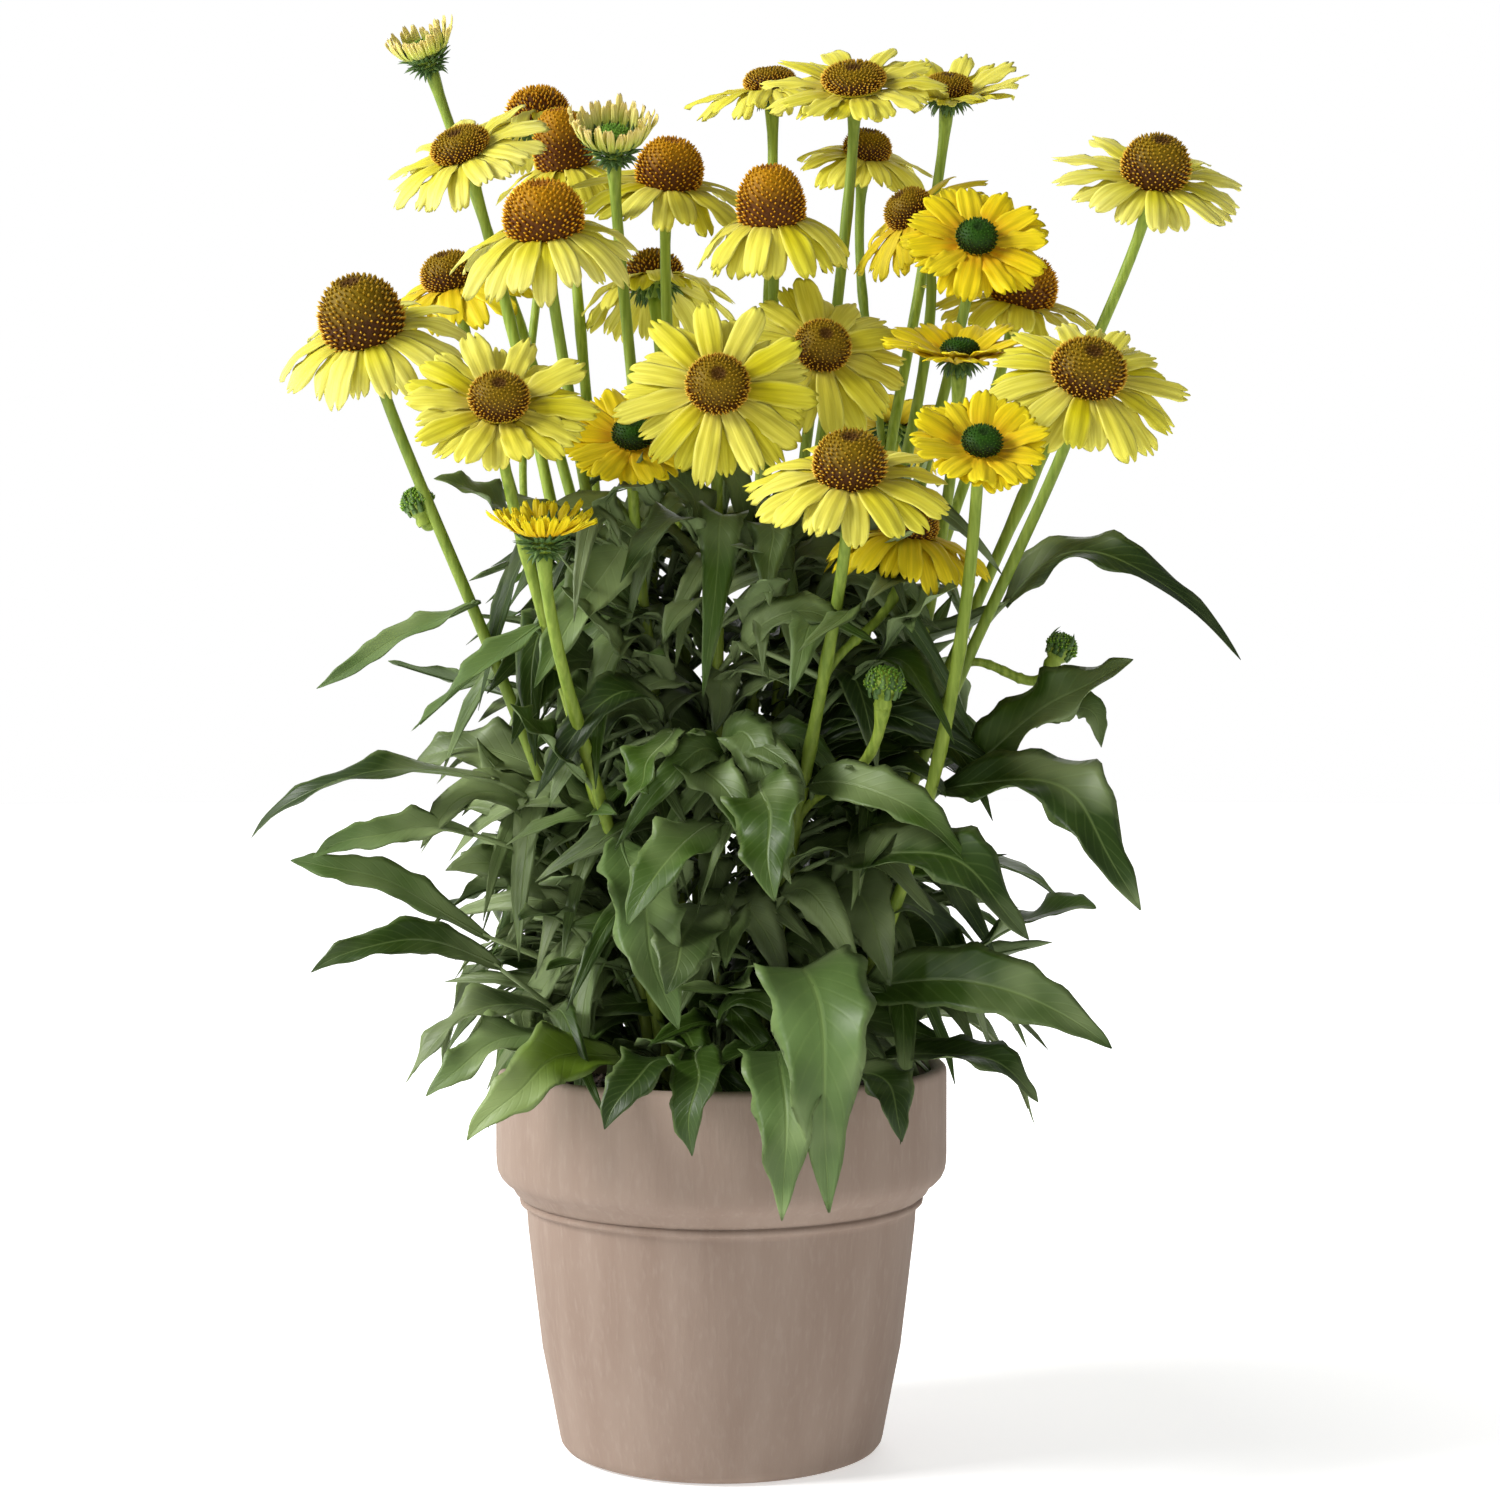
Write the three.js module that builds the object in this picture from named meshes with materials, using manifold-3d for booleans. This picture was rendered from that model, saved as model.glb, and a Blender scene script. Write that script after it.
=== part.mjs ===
// A clump of yellow coneflowers in a plain clay pot.
// Millimetres, +Z up, origin at the centre of the pot's underside, viewer towards -Y.

import * as THREE from 'three';
import { mergeVertices } from 'three/addons/utils/BufferGeometryUtils.js';
import Module from 'manifold-3d';

const wasm = await Module();
wasm.setup();

// Driving dimensions

const gap = 0.3; // clearance between touching pieces

const potHeight = 182;
const potRimRadius = 107;
const potBandBottom = 135; // where the straight rim band ends and its chamfer begins
const potNeckHeight = 117; // lower end of the chamfer
const potNeckRadius = 92.5;
const potBaseRadius = 77;
const potWall = 6;
const potFloor = 9;
const potSides = 24;
const drainHoleRadius = 6;
const drainHoleCircle = 42;

const soilLevel = 165;
const soilHump = 2.2;
const crownRadius = 54;
const crownFoot = 150;
const crownShoulder = 167;
const crownTop = 177;

const stemSteps = 5;
const sideStemSteps = 4;
const stemFootRadius = 3.1;
const stemTipRadius = 2.6;
const stemFootHeight = 162;
const stemSpread = 0.3; // how far out a stem stands on the crown, as a share of its bloom's place
const stemReach = 44; // widest place of a stem on the crown
const stemNeck = 46; // length over which a stem turns to face as its bloom does

const cupRim = -2.2; // height of a green cup's rim from the plane of the rays
const bractCount = 4;

const rayRoot = 0.55; // where a ray is widest, as a share of its length
const rayThickness = 1.5;
const rayNotch = 2.6;

const coneSides = 10;
const coneSpine = 0.07; // how far the spines stand out, as a share of the cone's radius

const finest = 0.03; // edges shorter than this are closed up where pieces cross

const leafThickness = 1.5;
const leafFold = 0.22; // rise of a leaf's edges above its midrib, as a share of its half width
const leafWave = 2.4;
const petioleHalfWidth = 1.5;

const colours = {
  clay: 0xad9a8b,
  soil: 0x33261c,
  green: 0x4d7030,
  yellow: 0xebe14a,
  gold: 0xeccd1e,
  lime: 0xc9cf4e,
  ripe: 0x8a5312,
  young: 0x2f4f1a,
};

// Open blooms. At is the middle of the cone's foot. Lean is the angle between the bloom's axis and
// the vertical, towards the compass angle turn (0 is +X, -90 is towards the viewer). Rise and fall
// are the slopes of a ray where it leaves the cone and at its tip.

const blooms = [
  {
    id: '02', at: [-127, 40, 622], lean: 40, turn: 240, cone: [15.5, 10],
    rays: 9, long: 32, rise: 8, fall: -24,
  },
  {
    id: '03', at: [-99, 163, 663], lean: 14, turn: 150, cone: [17.5, 18],
    rays: 9, long: 31, rise: -8, fall: -60, bow: [-24, 70],
  },
  {
    id: '04', at: [-82, 115, 630], lean: 22, turn: -110, cone: [15.5, 31],
    rays: 9, long: 32, rise: -14, fall: -62, bow: [-24, 10],
  },
  {
    id: '06', at: [-27, 61, 611], lean: 26, turn: -75, cone: [17.4, 22.5],
    rays: 10, long: 36, rise: 0, fall: -32,
  },
  {
    id: '07', at: [24, 8, 583], lean: 22, turn: -100, cone: [17, 27],
    rays: 10, long: 31, rise: -16, fall: -60,
  },
  {
    id: '08', at: [-82, -22, 573], lean: 27, turn: -100, cone: [19.5, 23.5],
    rays: 10, long: 35, rise: -10, fall: -56,
  },
  {
    id: '09', at: [-137, 82, 565], lean: 30, turn: -120, cone: [15, 15],
    rays: 9, long: 35, rise: 2, fall: -45,
  },
  {
    id: '10', at: [-161, -56, 521], lean: 36, turn: -110, cone: [20, 27],
    rays: 10, long: 32, rise: -2, fall: -48,
  },
  {
    id: '11', at: [-96, -104, 483], lean: 50, turn: -85, cone: [13.8, 13],
    rays: 10, long: 28, rise: 14, fall: -4,
  },
  {
    id: '12', at: [-40, -52, 473], lean: 46, turn: -85, cone: [10, 9],
    rays: 10, long: 25, rise: 12, fall: 0,
  },
  {
    id: '13', at: [-1, -66, 494], lean: 66, turn: -88, cone: [15, 14],
    rays: 11, long: 34, rise: 4, fall: -12,
  },
  {
    id: '14', at: [47, -12, 518], lean: 60, turn: -80, cone: [14, 14],
    rays: 10, long: 34, rise: 4, fall: -24,
  },
  {
    id: '15', at: [57, -108, 452], lean: 34, turn: -90, cone: [16.8, 19.5],
    rays: 10, long: 34, rise: 2, fall: -32,
  },
  {
    id: '16', at: [85, -58, 429], lean: 14, turn: -60, cone: [14, 15],
    rays: 10, long: 33, rise: -6, fall: -60,
  },
  {
    id: '17', at: [115, -100, 465], lean: 46, turn: -85, cone: [9.5, 8],
    rays: 10, long: 21, rise: 24, fall: 6, bow: [60, -50], neck: 22,
  },
  {
    id: '18', at: [112, -14, 516], lean: 20, turn: -90, cone: [9.5, 7],
    rays: 10, long: 27, rise: 34, fall: 10, bow: [40, 50],
  },
  {
    id: '19', at: [122, 14, 574], lean: 56, turn: -88, cone: [10.5, 10],
    rays: 11, long: 26, rise: 16, fall: -10,
  },
  {
    id: '20', at: [149, 80, 556], lean: 24, turn: -60, cone: [18.5, 23],
    rays: 10, long: 33, rise: 2, fall: -34,
  },
  {
    id: '21', at: [166, -60, 500], lean: 48, turn: -80, cone: [17.8, 16],
    rays: 11, long: 33, rise: 0, fall: -24,
  },
  {
    id: '22', at: [205, 0, 602], lean: 38, turn: -80, cone: [17, 20],
    rays: 10, long: 33, rise: 8, fall: -22,
  },
  {
    id: '23', at: [65, 60, 659], lean: 36, turn: -95, cone: [16.4, 9],
    rays: 10, long: 28, rise: 12, fall: -14,
  },
  {
    id: '24', at: [24, 124, 672], lean: 16, turn: -110, cone: [14, 10],
    rays: 9, long: 34, rise: 6, fall: -30,
  },
  {
    id: '26', at: [116, 122, 669], lean: 26, turn: -85, cone: [13, 9],
    rays: 10, long: 28, rise: 32, fall: 8, bow: [10, 10],
  },
  {
    id: '27', at: [74, 128, 638], lean: 26, turn: -70, cone: [13, 13],
    rays: 9, long: 29, rise: 2, fall: -36,
  },
  {
    id: '28', at: [94, 58, 594], lean: 45, turn: 215, cone: [13, 13],
    rays: 9, long: 31, rise: 0, fall: -30,
  },
  {
    id: '35', at: [-36, 118, 570], lean: 14, turn: 110, cone: [16, 17],
    rays: 9, long: 33, rise: -10, fall: -62,
  },
  {
    id: '38', at: [90, 150, 498], lean: 32, turn: 70, cone: [13, 13],
    rays: 9, long: 31, rise: 6, fall: -24,
  },
];

// Opening buds: a green cup and disc with a ring of short upright rays
const openingBuds = [
  {
    id: '01', at: [-154, 112, 688], lean: 34, turn: 236, cone: [10, 7],
    rays: 9, long: 14, rise: 50, fall: 78, bow: [30, 70],
  },
  {
    id: '05', at: [-52, 14, 622], lean: 34, turn: -90, cone: [12, 9],
    rays: 9, long: 17, rise: 50, fall: 76,
  },
  {
    id: '30', at: [-76, -114, 427], lean: 16, turn: -90, cone: [9.5, 6],
    rays: 9, long: 17, rise: 26, fall: 44,
  },
];

// Closed green buds
const closedBuds = [
  { id: '31', at: [-140, -30, 444], lean: 20, turn: 180, cone: [7, 8], fall: -20 },
  { id: '32', at: [73, -90, 359], lean: 14, turn: -70, cone: [8, 9], fall: -20 },
  { id: '33', at: [158, -24, 377], lean: 30, turn: 10, cone: [6.5, 7.5], fall: -20 },
];

// Side stems leave another bloom's stem at a share of its length
const sideStems = {
  '03': { from: '09', share: 0.55 },
  '16': { from: '15', share: 0.62 },
  '27': { from: '26', share: 0.5 },
  '31': { from: '10', share: 0.66 },
  '32': { from: '15', share: 0.4 },
  '33': { from: '21', share: 0.52 },
  '35': { from: '06', share: 0.55 },
  '38': { from: '26', share: 0.4 },
};

// Large leaves that show from the front: foot, highest or middle point, tip, half width
const frontLeaves = [
  [[133, -20, 398], [179, -40, 421], [236, -60, 372], 12],
  [[-112, -30, 400], [-146, -50, 382], [-183, -60, 359], 8],
  [[-82, -60, 388], [-106, -90, 367], [-134, -110, 340], 10],
  [[-40, -30, 432], [-59, -60, 402], [-82, -90, 359], 13],
  [[-60, -80, 318], [-76, -100, 336], [-90, -120, 352], 11],
  [[-20, -80, 341], [-30, -110, 325], [-40, -130, 308], 11],
  [[-101, -50, 317], [-168, -70, 319], [-213, -60, 291], 9],
  [[-112, -60, 293], [-148, -80, 296], [-180, -90, 284], 9],
  [[-106, -46, 244], [-156, -60, 272], [-195, -60, 281], 10],
  [[-100, -56, 232], [-144, -76, 246], [-181, -90, 233], 10],
  [[-76, -66, 212], [-108, -95, 216], [-138, -102, 185], 11],
  [[-66, -75, 204], [-98, -112, 203], [-126, -125, 183], 12],
  [[-44, -80, 194], [-77, -124, 194], [-107, -138, 166], 14],
  [[-17, -86, 194], [-34, -130, 194], [-48, -146, 172], 13],
  [[-8, -90, 200], [-11, -134, 190], [-11, -142, 160], 12],
  [[24, -84, 196], [28, -138, 190], [27, -150, 134], 17],
  [[34, -70, 226], [41, -136, 226], [47, -148, 137], 24],
  [[18, -84, 320], [20, -120, 303], [24, -138, 268], 17],
  [[-44, -84, 292], [-32, -124, 258], [-17, -135, 213], 16],
  [[0, -84, 300], [-21, -120, 286], [-39, -132, 257], 14],
  [[-9, -80, 262], [-14, -124, 251], [-22, -142, 229], 16],
  [[40, -70, 316], [74, -106, 312], [109, -120, 282], 12],
  [[49, -74, 282], [91, -118, 286], [133, -130, 251], 18],
  [[100, -46, 312], [148, -86, 312], [184, -108, 262], 18],
  [[110, -34, 318], [152, -56, 352], [186, -70, 372], 16],
  [[146, -28, 342], [168, -32, 350], [176, -36, 332], 8],
  [[116, -50, 240], [145, -82, 259], [166, -98, 262], 12],
  [[62, -64, 222], [118, -108, 229], [170, -120, 203], 16],
  [[70, -70, 192], [110, -106, 198], [138, -122, 180], 12],
  [[52, -80, 186], [70, -128, 190], [78, -142, 166], 12],
  [[69, -49, 369], [88, -78, 394], [105, -92, 404], 10],
  [[-86, -54, 428], [-107, -75, 446], [-127, -84, 452], 10],
];

const backLeafCount = 18;
const innerLeafCount = 8;

// Seeded draws

function seeded(seed) {
  let state = seed >>> 0;
  return () => {
    state = (state + 0x6d2b79f5) >>> 0;
    let mixed = state;
    mixed = Math.imul(mixed ^ (mixed >>> 15), mixed | 1);
    mixed ^= mixed + Math.imul(mixed ^ (mixed >>> 7), mixed | 61);
    return ((mixed ^ (mixed >>> 14)) >>> 0) / 4294967296;
  };
}

function between(draw, low, high) {
  return low + (high - low) * draw();
}

// Small vector helpers

const up = new THREE.Vector3(0, 0, 1);
const light = new THREE.Vector3(-0.2, -0.9, 0); // leaves in front turn their faces this way
const radians = THREE.MathUtils.degToRad;
const point = (list) => new THREE.Vector3(...list);

function moved(start, ...steps) {
  const place = start.clone();
  for (const [direction, amount] of steps) place.addScaledVector(direction, amount);
  return place;
}

function axisOf(head) {
  const lean = radians(head.lean);
  const turn = radians(head.turn);
  return new THREE.Vector3(
    Math.sin(lean) * Math.cos(turn), Math.sin(lean) * Math.sin(turn), Math.cos(lean));
}

// The head's own directions: z along its axis, x and y across it
function frameOf(head) {
  const z = axisOf(head);
  const x = new THREE.Vector3(0, 1, 0).cross(z).normalize();
  const y = z.clone().cross(x);
  return { origin: point(head.at), x, y, z };
}

function placed(frame, radius, angle, height) {
  return moved(frame.origin,
    [frame.x, radius * Math.cos(angle)], [frame.y, radius * Math.sin(angle)], [frame.z, height]);
}

// Meshes from lists of vertices and triangles

class Shell {
  constructor() {
    this.places = [];
    this.triangles = [];
  }

  vertex(place) {
    this.places.push(place);
    return this.places.length - 1;
  }

  ring(places) {
    return places.map((place) => this.vertex(place));
  }

  triangle(a, b, c) {
    this.triangles.push(a, b, c);
  }

  // Joins two rings of equal length; the diagonals mirror each other on both sides of every edge
  band(lower, upper) {
    const count = lower.length;
    for (let i = 0; i < count; i += 1) {
      const j = (i + 1) % count;
      if (i % 2 === 0) {
        this.triangle(lower[i], lower[j], upper[j]);
        this.triangle(lower[i], upper[j], upper[i]);
      } else {
        this.triangle(lower[i], lower[j], upper[i]);
        this.triangle(lower[j], upper[j], upper[i]);
      }
    }
  }

  // Closes a ring onto one vertex
  fan(ring, tip) {
    const count = ring.length;
    for (let i = 0; i < count; i += 1) this.triangle(ring[i], ring[(i + 1) % count], tip);
  }

  // Closes a ring with a flat cap; last tells whether it ends the loft
  cap(ring, last) {
    for (let i = 1; i < ring.length - 1; i += 1) {
      if (last) this.triangle(ring[0], ring[i], ring[i + 1]);
      else this.triangle(ring[0], ring[i + 1], ring[i]);
    }
  }

  geometry() {
    const geometry = new THREE.BufferGeometry();
    const numbers = this.places.flatMap((place) => [place.x, place.y, place.z]);
    geometry.setAttribute('position', new THREE.Float32BufferAttribute(numbers, 3));
    geometry.setIndex(this.triangles);
    if (volumeOf(geometry) < 0) geometry.setIndex(this.triangles.slice().reverse());
    return geometry;
  }
}

function volumeOf(geometry) {
  const places = geometry.getAttribute('position');
  const index = geometry.getIndex();
  const corners = [new THREE.Vector3(), new THREE.Vector3(), new THREE.Vector3()];
  let volume = 0;
  for (let i = 0; i < index.count; i += 3) {
    corners.forEach((corner, k) => corner.fromBufferAttribute(places, index.getX(i + k)));
    volume += corners[0].dot(corners[1].clone().cross(corners[2])) / 6;
  }
  return volume;
}

// A closed skin over a row of rings, ending in a cap or, when the last entry is one place, a point
function loft(rings) {
  const shell = new Shell();
  let lower = shell.ring(rings[0]);
  shell.cap(lower, false);
  for (const places of rings.slice(1)) {
    const upper = shell.ring(places);
    if (upper.length === 1) {
      shell.fan(lower, upper[0]);
      return shell.geometry();
    }
    shell.band(lower, upper);
    lower = upper;
  }
  shell.cap(lower, true);
  return shell.geometry();
}

// Solids for joining and cutting

function solid(geometry) {
  const bare = geometry.clone();
  bare.deleteAttribute('normal');
  bare.deleteAttribute('uv');
  const merged = bare.index && !geometry.getAttribute('uv') ? bare : mergeVertices(bare, 1e-3);
  return new wasm.Manifold(new wasm.Mesh({
    numProp: 3,
    vertProperties: new Float32Array(merged.getAttribute('position').array),
    triVerts: new Uint32Array(merged.getIndex().array),
  }));
}

function geometryOf(body) {
  const mesh = body.getMesh();
  const geometry = new THREE.BufferGeometry();
  geometry.setAttribute('position', new THREE.Float32BufferAttribute(mesh.vertProperties, 3));
  geometry.setIndex(Array.from(mesh.triVerts));
  return geometry;
}

// The largest of a body's separate skins: sealed hollows are filled and loose scraps dropped
function outerSkin(body) {
  const skins = body.decompose();
  skins.sort((a, b) => b.volume() - a.volume());
  return skins[0];
}

// Pot

function potProfile() {
  const inner = potWall;
  const outline = [
    [0, 0],
    [potBaseRadius - 6, 0],
    [potBaseRadius - 1.5, 1.8],
    [potBaseRadius, 6],
    [85.2, 48],
    [91.8, 104],
    [potNeckRadius, potNeckHeight - 4],
    [potNeckRadius + 3, potNeckHeight + 1],
    [potRimRadius - 4, potBandBottom - 8],
    [potRimRadius - 0.8, potBandBottom - 3.4],
    [potRimRadius, potBandBottom + 2],
    [potRimRadius, potHeight - 3.5],
    [potRimRadius - 3.4, potHeight],
    [potRimRadius - inner - 0.6, potHeight - 2.6],
    [potRimRadius - inner - 1.5, potBandBottom - 2],
    [potNeckRadius - inner, potNeckHeight - 6],
    [85.2 - inner, 48],
    [potBaseRadius - inner + 0.5, potFloor],
    [0, potFloor],
  ];
  return outline.map(([radius, height]) => new THREE.Vector2(radius, height));
}

function upright(geometry) {
  return geometry.rotateX(Math.PI / 2);
}

function lathe(profile, sides) {
  return upright(new THREE.LatheGeometry(profile, sides));
}

function pot() {
  let body = solid(lathe(potProfile(), potSides));
  for (let i = 0; i < 3; i += 1) {
    const angle = radians(30 + 120 * i);
    const drill = new THREE.CylinderGeometry(drainHoleRadius, drainHoleRadius, potFloor * 3, 12);
    upright(drill);
    drill.translate(drainHoleCircle * Math.cos(angle), drainHoleCircle * Math.sin(angle), 0);
    body = body.subtract(solid(drill));
  }
  return geometryOf(body);
}

// Inside radius of the pot at a height, along its inner profile
function insideRadius(height) {
  const inner = potWall;
  const rows = [
    [potFloor, potBaseRadius - inner + 0.5],
    [48, 85.2 - inner],
    [potNeckHeight - 6, potNeckRadius - inner],
    [potBandBottom - 2, potRimRadius - inner - 1.5],
    [potHeight, potRimRadius - inner - 0.6],
  ];
  for (let i = 1; i < rows.length; i += 1) {
    const [z0, r0] = rows[i - 1];
    const [z1, r1] = rows[i];
    if (height <= z1) return r0 + ((r1 - r0) * (height - z0)) / (z1 - z0);
  }
  return rows[rows.length - 1][1];
}

// Soil: a plug that follows the pot's inside, humped on top, with a plain hole for the crown

function soil() {
  const draw = seeded(11);
  const shell = new Shell();
  const angles = Array.from({ length: potSides }, (_, i) => (2 * Math.PI * i) / potSides);
  const circle = (radius, height) => shell.ring(
    angles.map((angle) => placed(world, radius, angle, height(angle))));
  const level = (height) => () => height;
  const rough = () => () => soilLevel + between(draw, -soilHump, soilHump);
  const hole = crownRadius / Math.cos(Math.PI / potSides) + gap;
  const rings = [
    circle(insideRadius(potFloor + gap) - gap * 2, level(potFloor + gap)),
    circle(insideRadius(48) - gap * 2, level(48)),
    circle(insideRadius(potNeckHeight - 6) - gap * 2, level(potNeckHeight - 6)),
    circle(insideRadius(potBandBottom - 2) - gap * 2, level(potBandBottom - 2)),
    circle(insideRadius(soilLevel) - gap * 2, level(soilLevel)),
    circle(76, rough()),
    circle(hole, level(soilLevel)),
    circle(hole, level(crownFoot - gap)),
  ];
  const bottom = shell.vertex(new THREE.Vector3(0, 0, potFloor + gap));
  const holeBottom = shell.vertex(new THREE.Vector3(0, 0, crownFoot - gap));
  shell.fan(rings[0].slice().reverse(), bottom);
  for (let i = 1; i < rings.length; i += 1) shell.band(rings[i - 1], rings[i]);
  shell.fan(rings[rings.length - 1], holeBottom);
  return shell.geometry();
}

const world = {
  origin: new THREE.Vector3(),
  x: new THREE.Vector3(1, 0, 0),
  y: new THREE.Vector3(0, 1, 0),
  z: up,
};

// Crown: the woody clump that all stems and low leaves grow from

function crown() {
  const profile = [
    [0, crownFoot], [crownRadius, crownFoot], [crownRadius, crownShoulder - 3],
    [crownRadius * 0.84, crownShoulder + 2], [crownRadius * 0.45, crownTop - 2], [0, crownTop],
  ];
  return lathe(profile.map(([radius, height]) => new THREE.Vector2(radius, height)), 14);
}

// Stems

const heads = [...blooms, ...openingBuds, ...closedBuds];
const stemEnds = -8; // a stem ends this far below the plane of its head's rays

function stemCurve(head) {
  const frame = frameOf(head);
  const end = moved(frame.origin, [frame.z, stemEnds]);
  const side = sideStems[head.id];
  let foot;
  let rise;
  if (side) {
    const carrier = stemCurve(heads.find((other) => other.id === side.from));
    foot = carrier.getPoint(side.share);
    rise = foot.clone().lerp(end, 0.3);
    rise.z += 8;
  } else {
    const reach = Math.min(1, stemReach / (stemSpread * Math.hypot(end.x, end.y)));
    foot = new THREE.Vector3(end.x * stemSpread * reach, end.y * stemSpread * reach, stemFootHeight);
    rise = foot.clone();
    rise.z += (end.z - foot.z) * 0.42;
    rise.x += (end.x - foot.x) * 0.2;
    rise.y += (end.y - foot.y) * 0.2;
  }
  if (head.bow) rise.add(new THREE.Vector3(head.bow[0], head.bow[1], 0));
  const neck = Math.min(head.neck ?? stemNeck, foot.distanceTo(end) * 0.4);
  const turnIn = moved(end, [frame.z, -neck]);
  turnIn.z -= neck * 0.35;
  return new THREE.CubicBezierCurve3(foot, rise, turnIn, end);
}

// Two directions across a tangent, the second as near as possible to a wanted one
function across(tangent, wanted) {
  const side = wanted.clone().cross(tangent).normalize();
  const raised = tangent.clone().cross(side).normalize();
  return { side, raised };
}

// A lens-shaped hub whose rim grows into blades: rays, or the bracts of a cup. Each blade is a list
// of sections, and a section is [edge, top, edge, underside], or one place for a pointed end. The
// hub's top and underside close on one vertex each, or on a ring with a vertex for each blade.
function star(shell, rim, blades, top, low) {
  const count = blades.length;
  const rimRing = shell.ring(rim);
  const at = (ring, k) => ring[ring.length === 1 ? 0 : k % count];
  blades.forEach((blade, k) => {
    const left = rimRing[k];
    const right = rimRing[(k + 1) % count];
    const ridge = shell.vertex(blade.ridge);
    const keel = shell.vertex(blade.keel);
    shell.triangle(at(top, k), left, ridge);
    shell.triangle(at(top, k), ridge, right);
    shell.triangle(at(low, k), keel, left);
    shell.triangle(at(low, k), right, keel);
    if (top.length > 1) shell.triangle(at(top, k), right, at(top, k + 1));
    if (low.length > 1) shell.triangle(at(low, k), at(low, k + 1), right);
    let lower = [left, keel, right, ridge];
    for (const section of blade.sections) {
      if (section.length === 1) {
        shell.fan(lower, shell.vertex(section[0]));
        return;
      }
      const upper = shell.ring([section[0], section[3], section[2], section[1]]);
      shell.band(lower, upper);
      lower = upper;
    }
    shell.triangle(lower[0], lower[1], lower[3]);
    shell.triangle(lower[1], lower[2], lower[3]);
  });
}

// Height and radius of the rings of a bud's green middle: the disc of an opening bud, which goes up
// through its ring of rays, or a closed bud's ball. An open bloom's cup has none.
function domeOf(head) {
  const [radius, height] = head.cone;
  if (closedBuds.includes(head)) return [[height * 0.25, radius], [height * 0.75, radius * 0.72]];
  if (openingBuds.includes(head)) return [[-1.2, radius * 0.78], [height * 0.6, radius * 0.72]];
  return [];
}

// One head's stem with the green cup and bracts that it ends in
function stalk(head) {
  const frame = frameOf(head);
  const curve = stemCurve(head);
  const isSide = Boolean(sideStems[head.id]);
  const steps = isSide ? sideStemSteps : stemSteps;
  const footRadius = isSide ? stemTipRadius : stemFootRadius;
  const radius = Math.max(5.5, head.cone[0] * 0.62);
  const draw = seeded(300 + Number(head.id));
  const start = between(draw, 0, Math.PI);
  const step = (2 * Math.PI) / bractCount;
  const shell = new Shell();
  const rings = [];
  for (let i = 0; i <= steps; i += 1) {
    const share = i / steps;
    const tangent = curve.getTangent(share);
    const { side, raised } = across(tangent, frame.y);
    const place = { origin: curve.getPoint(share), x: side, y: raised, z: tangent };
    const wide = footRadius + (stemTipRadius - footRadius) * share;
    rings.push(shell.ring(
      Array.from({ length: bractCount }, (_, k) => placed(place, wide, start + step * k, 0))));
  }
  shell.cap(rings[0], false);
  for (let i = 1; i <= steps; i += 1) shell.band(rings[i - 1], rings[i]);
  const rim = [];
  const blades = [];
  for (let k = 0; k < bractCount; k += 1) {
    const angle = start + step * k;
    const middle = angle + step / 2;
    const reach = radius + between(draw, 6.5, 9.5);
    const drop = between(draw, -9.5, -5) + Math.min(0, head.fall) * 0.07;
    rim.push(placed(frame, radius, angle, cupRim));
    blades.push({
      ridge: placed(frame, radius * 1.04, middle, cupRim + 0.9),
      keel: placed(frame, radius * 0.9, middle, cupRim - 2.2),
      sections: [[placed(frame, reach, middle, cupRim + drop)]],
    });
  }
  const rows = domeOf(head);
  const dome = rows.map(([height, wide]) => shell.ring(
    Array.from({ length: bractCount }, (_, k) => placed(frame, wide, start + step * k, height))));
  const top = shell.vertex(placed(frame, 0, 0, rows.length ? head.cone[1] : -1.2));
  star(shell, rim, blades, dome.length ? dome[0] : [top], rings[steps]);
  for (let i = 1; i < dome.length; i += 1) shell.band(dome[i - 1], dome[i]);
  if (dome.length) shell.fan(dome[dome.length - 1], top);
  return shell.geometry();
}

// Rays

// One ray's midline: distance out from the axis and height, after a share of its length
function rayPath(hub, long, rise, fall, share) {
  const steps = 8;
  let out = hub;
  let height = 0;
  for (let i = 0; i < steps; i += 1) {
    const slope = radians(rise + (fall - rise) * ((i + 0.5) / steps) * share);
    out += (Math.cos(slope) * long * share) / steps;
    height += (Math.sin(slope) * long * share) / steps;
  }
  return { out, height, slope: radians(rise + (fall - rise) * share) };
}

// What a ray's draws decide: its direction, length, slopes and twist
function rayPlan(head) {
  const draw = seeded(700 + Number(head.id));
  const start = between(draw, 0, Math.PI);
  const step = (2 * Math.PI) / head.rays;
  const plans = [];
  for (let k = 0; k < head.rays; k += 1) {
    plans.push({
      angle: start + step * (k + between(draw, -0.13, 0.13)),
      long: head.long * between(draw, 0.86, 1.08),
      rise: head.rise + between(draw, -5, 3),
      fall: head.fall + between(draw, -13, 13),
      wide: between(draw, 0.88, 1.08),
      twist: between(draw, -0.25, 0.25),
      notch: between(draw, 0.5, 1.3) * rayNotch,
    });
  }
  return plans;
}

function hubRadius(head) {
  return head.cone[0] + (head.rise > 10 ? 1.6 : -1.6);
}

function rayHalfWidth(head) {
  const hub = hubRadius(head);
  const middle = rayPath(hub, head.long, head.rise, head.fall, rayRoot);
  return Math.min(7, (Math.PI * middle.out) / head.rays - 0.3);
}

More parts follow.
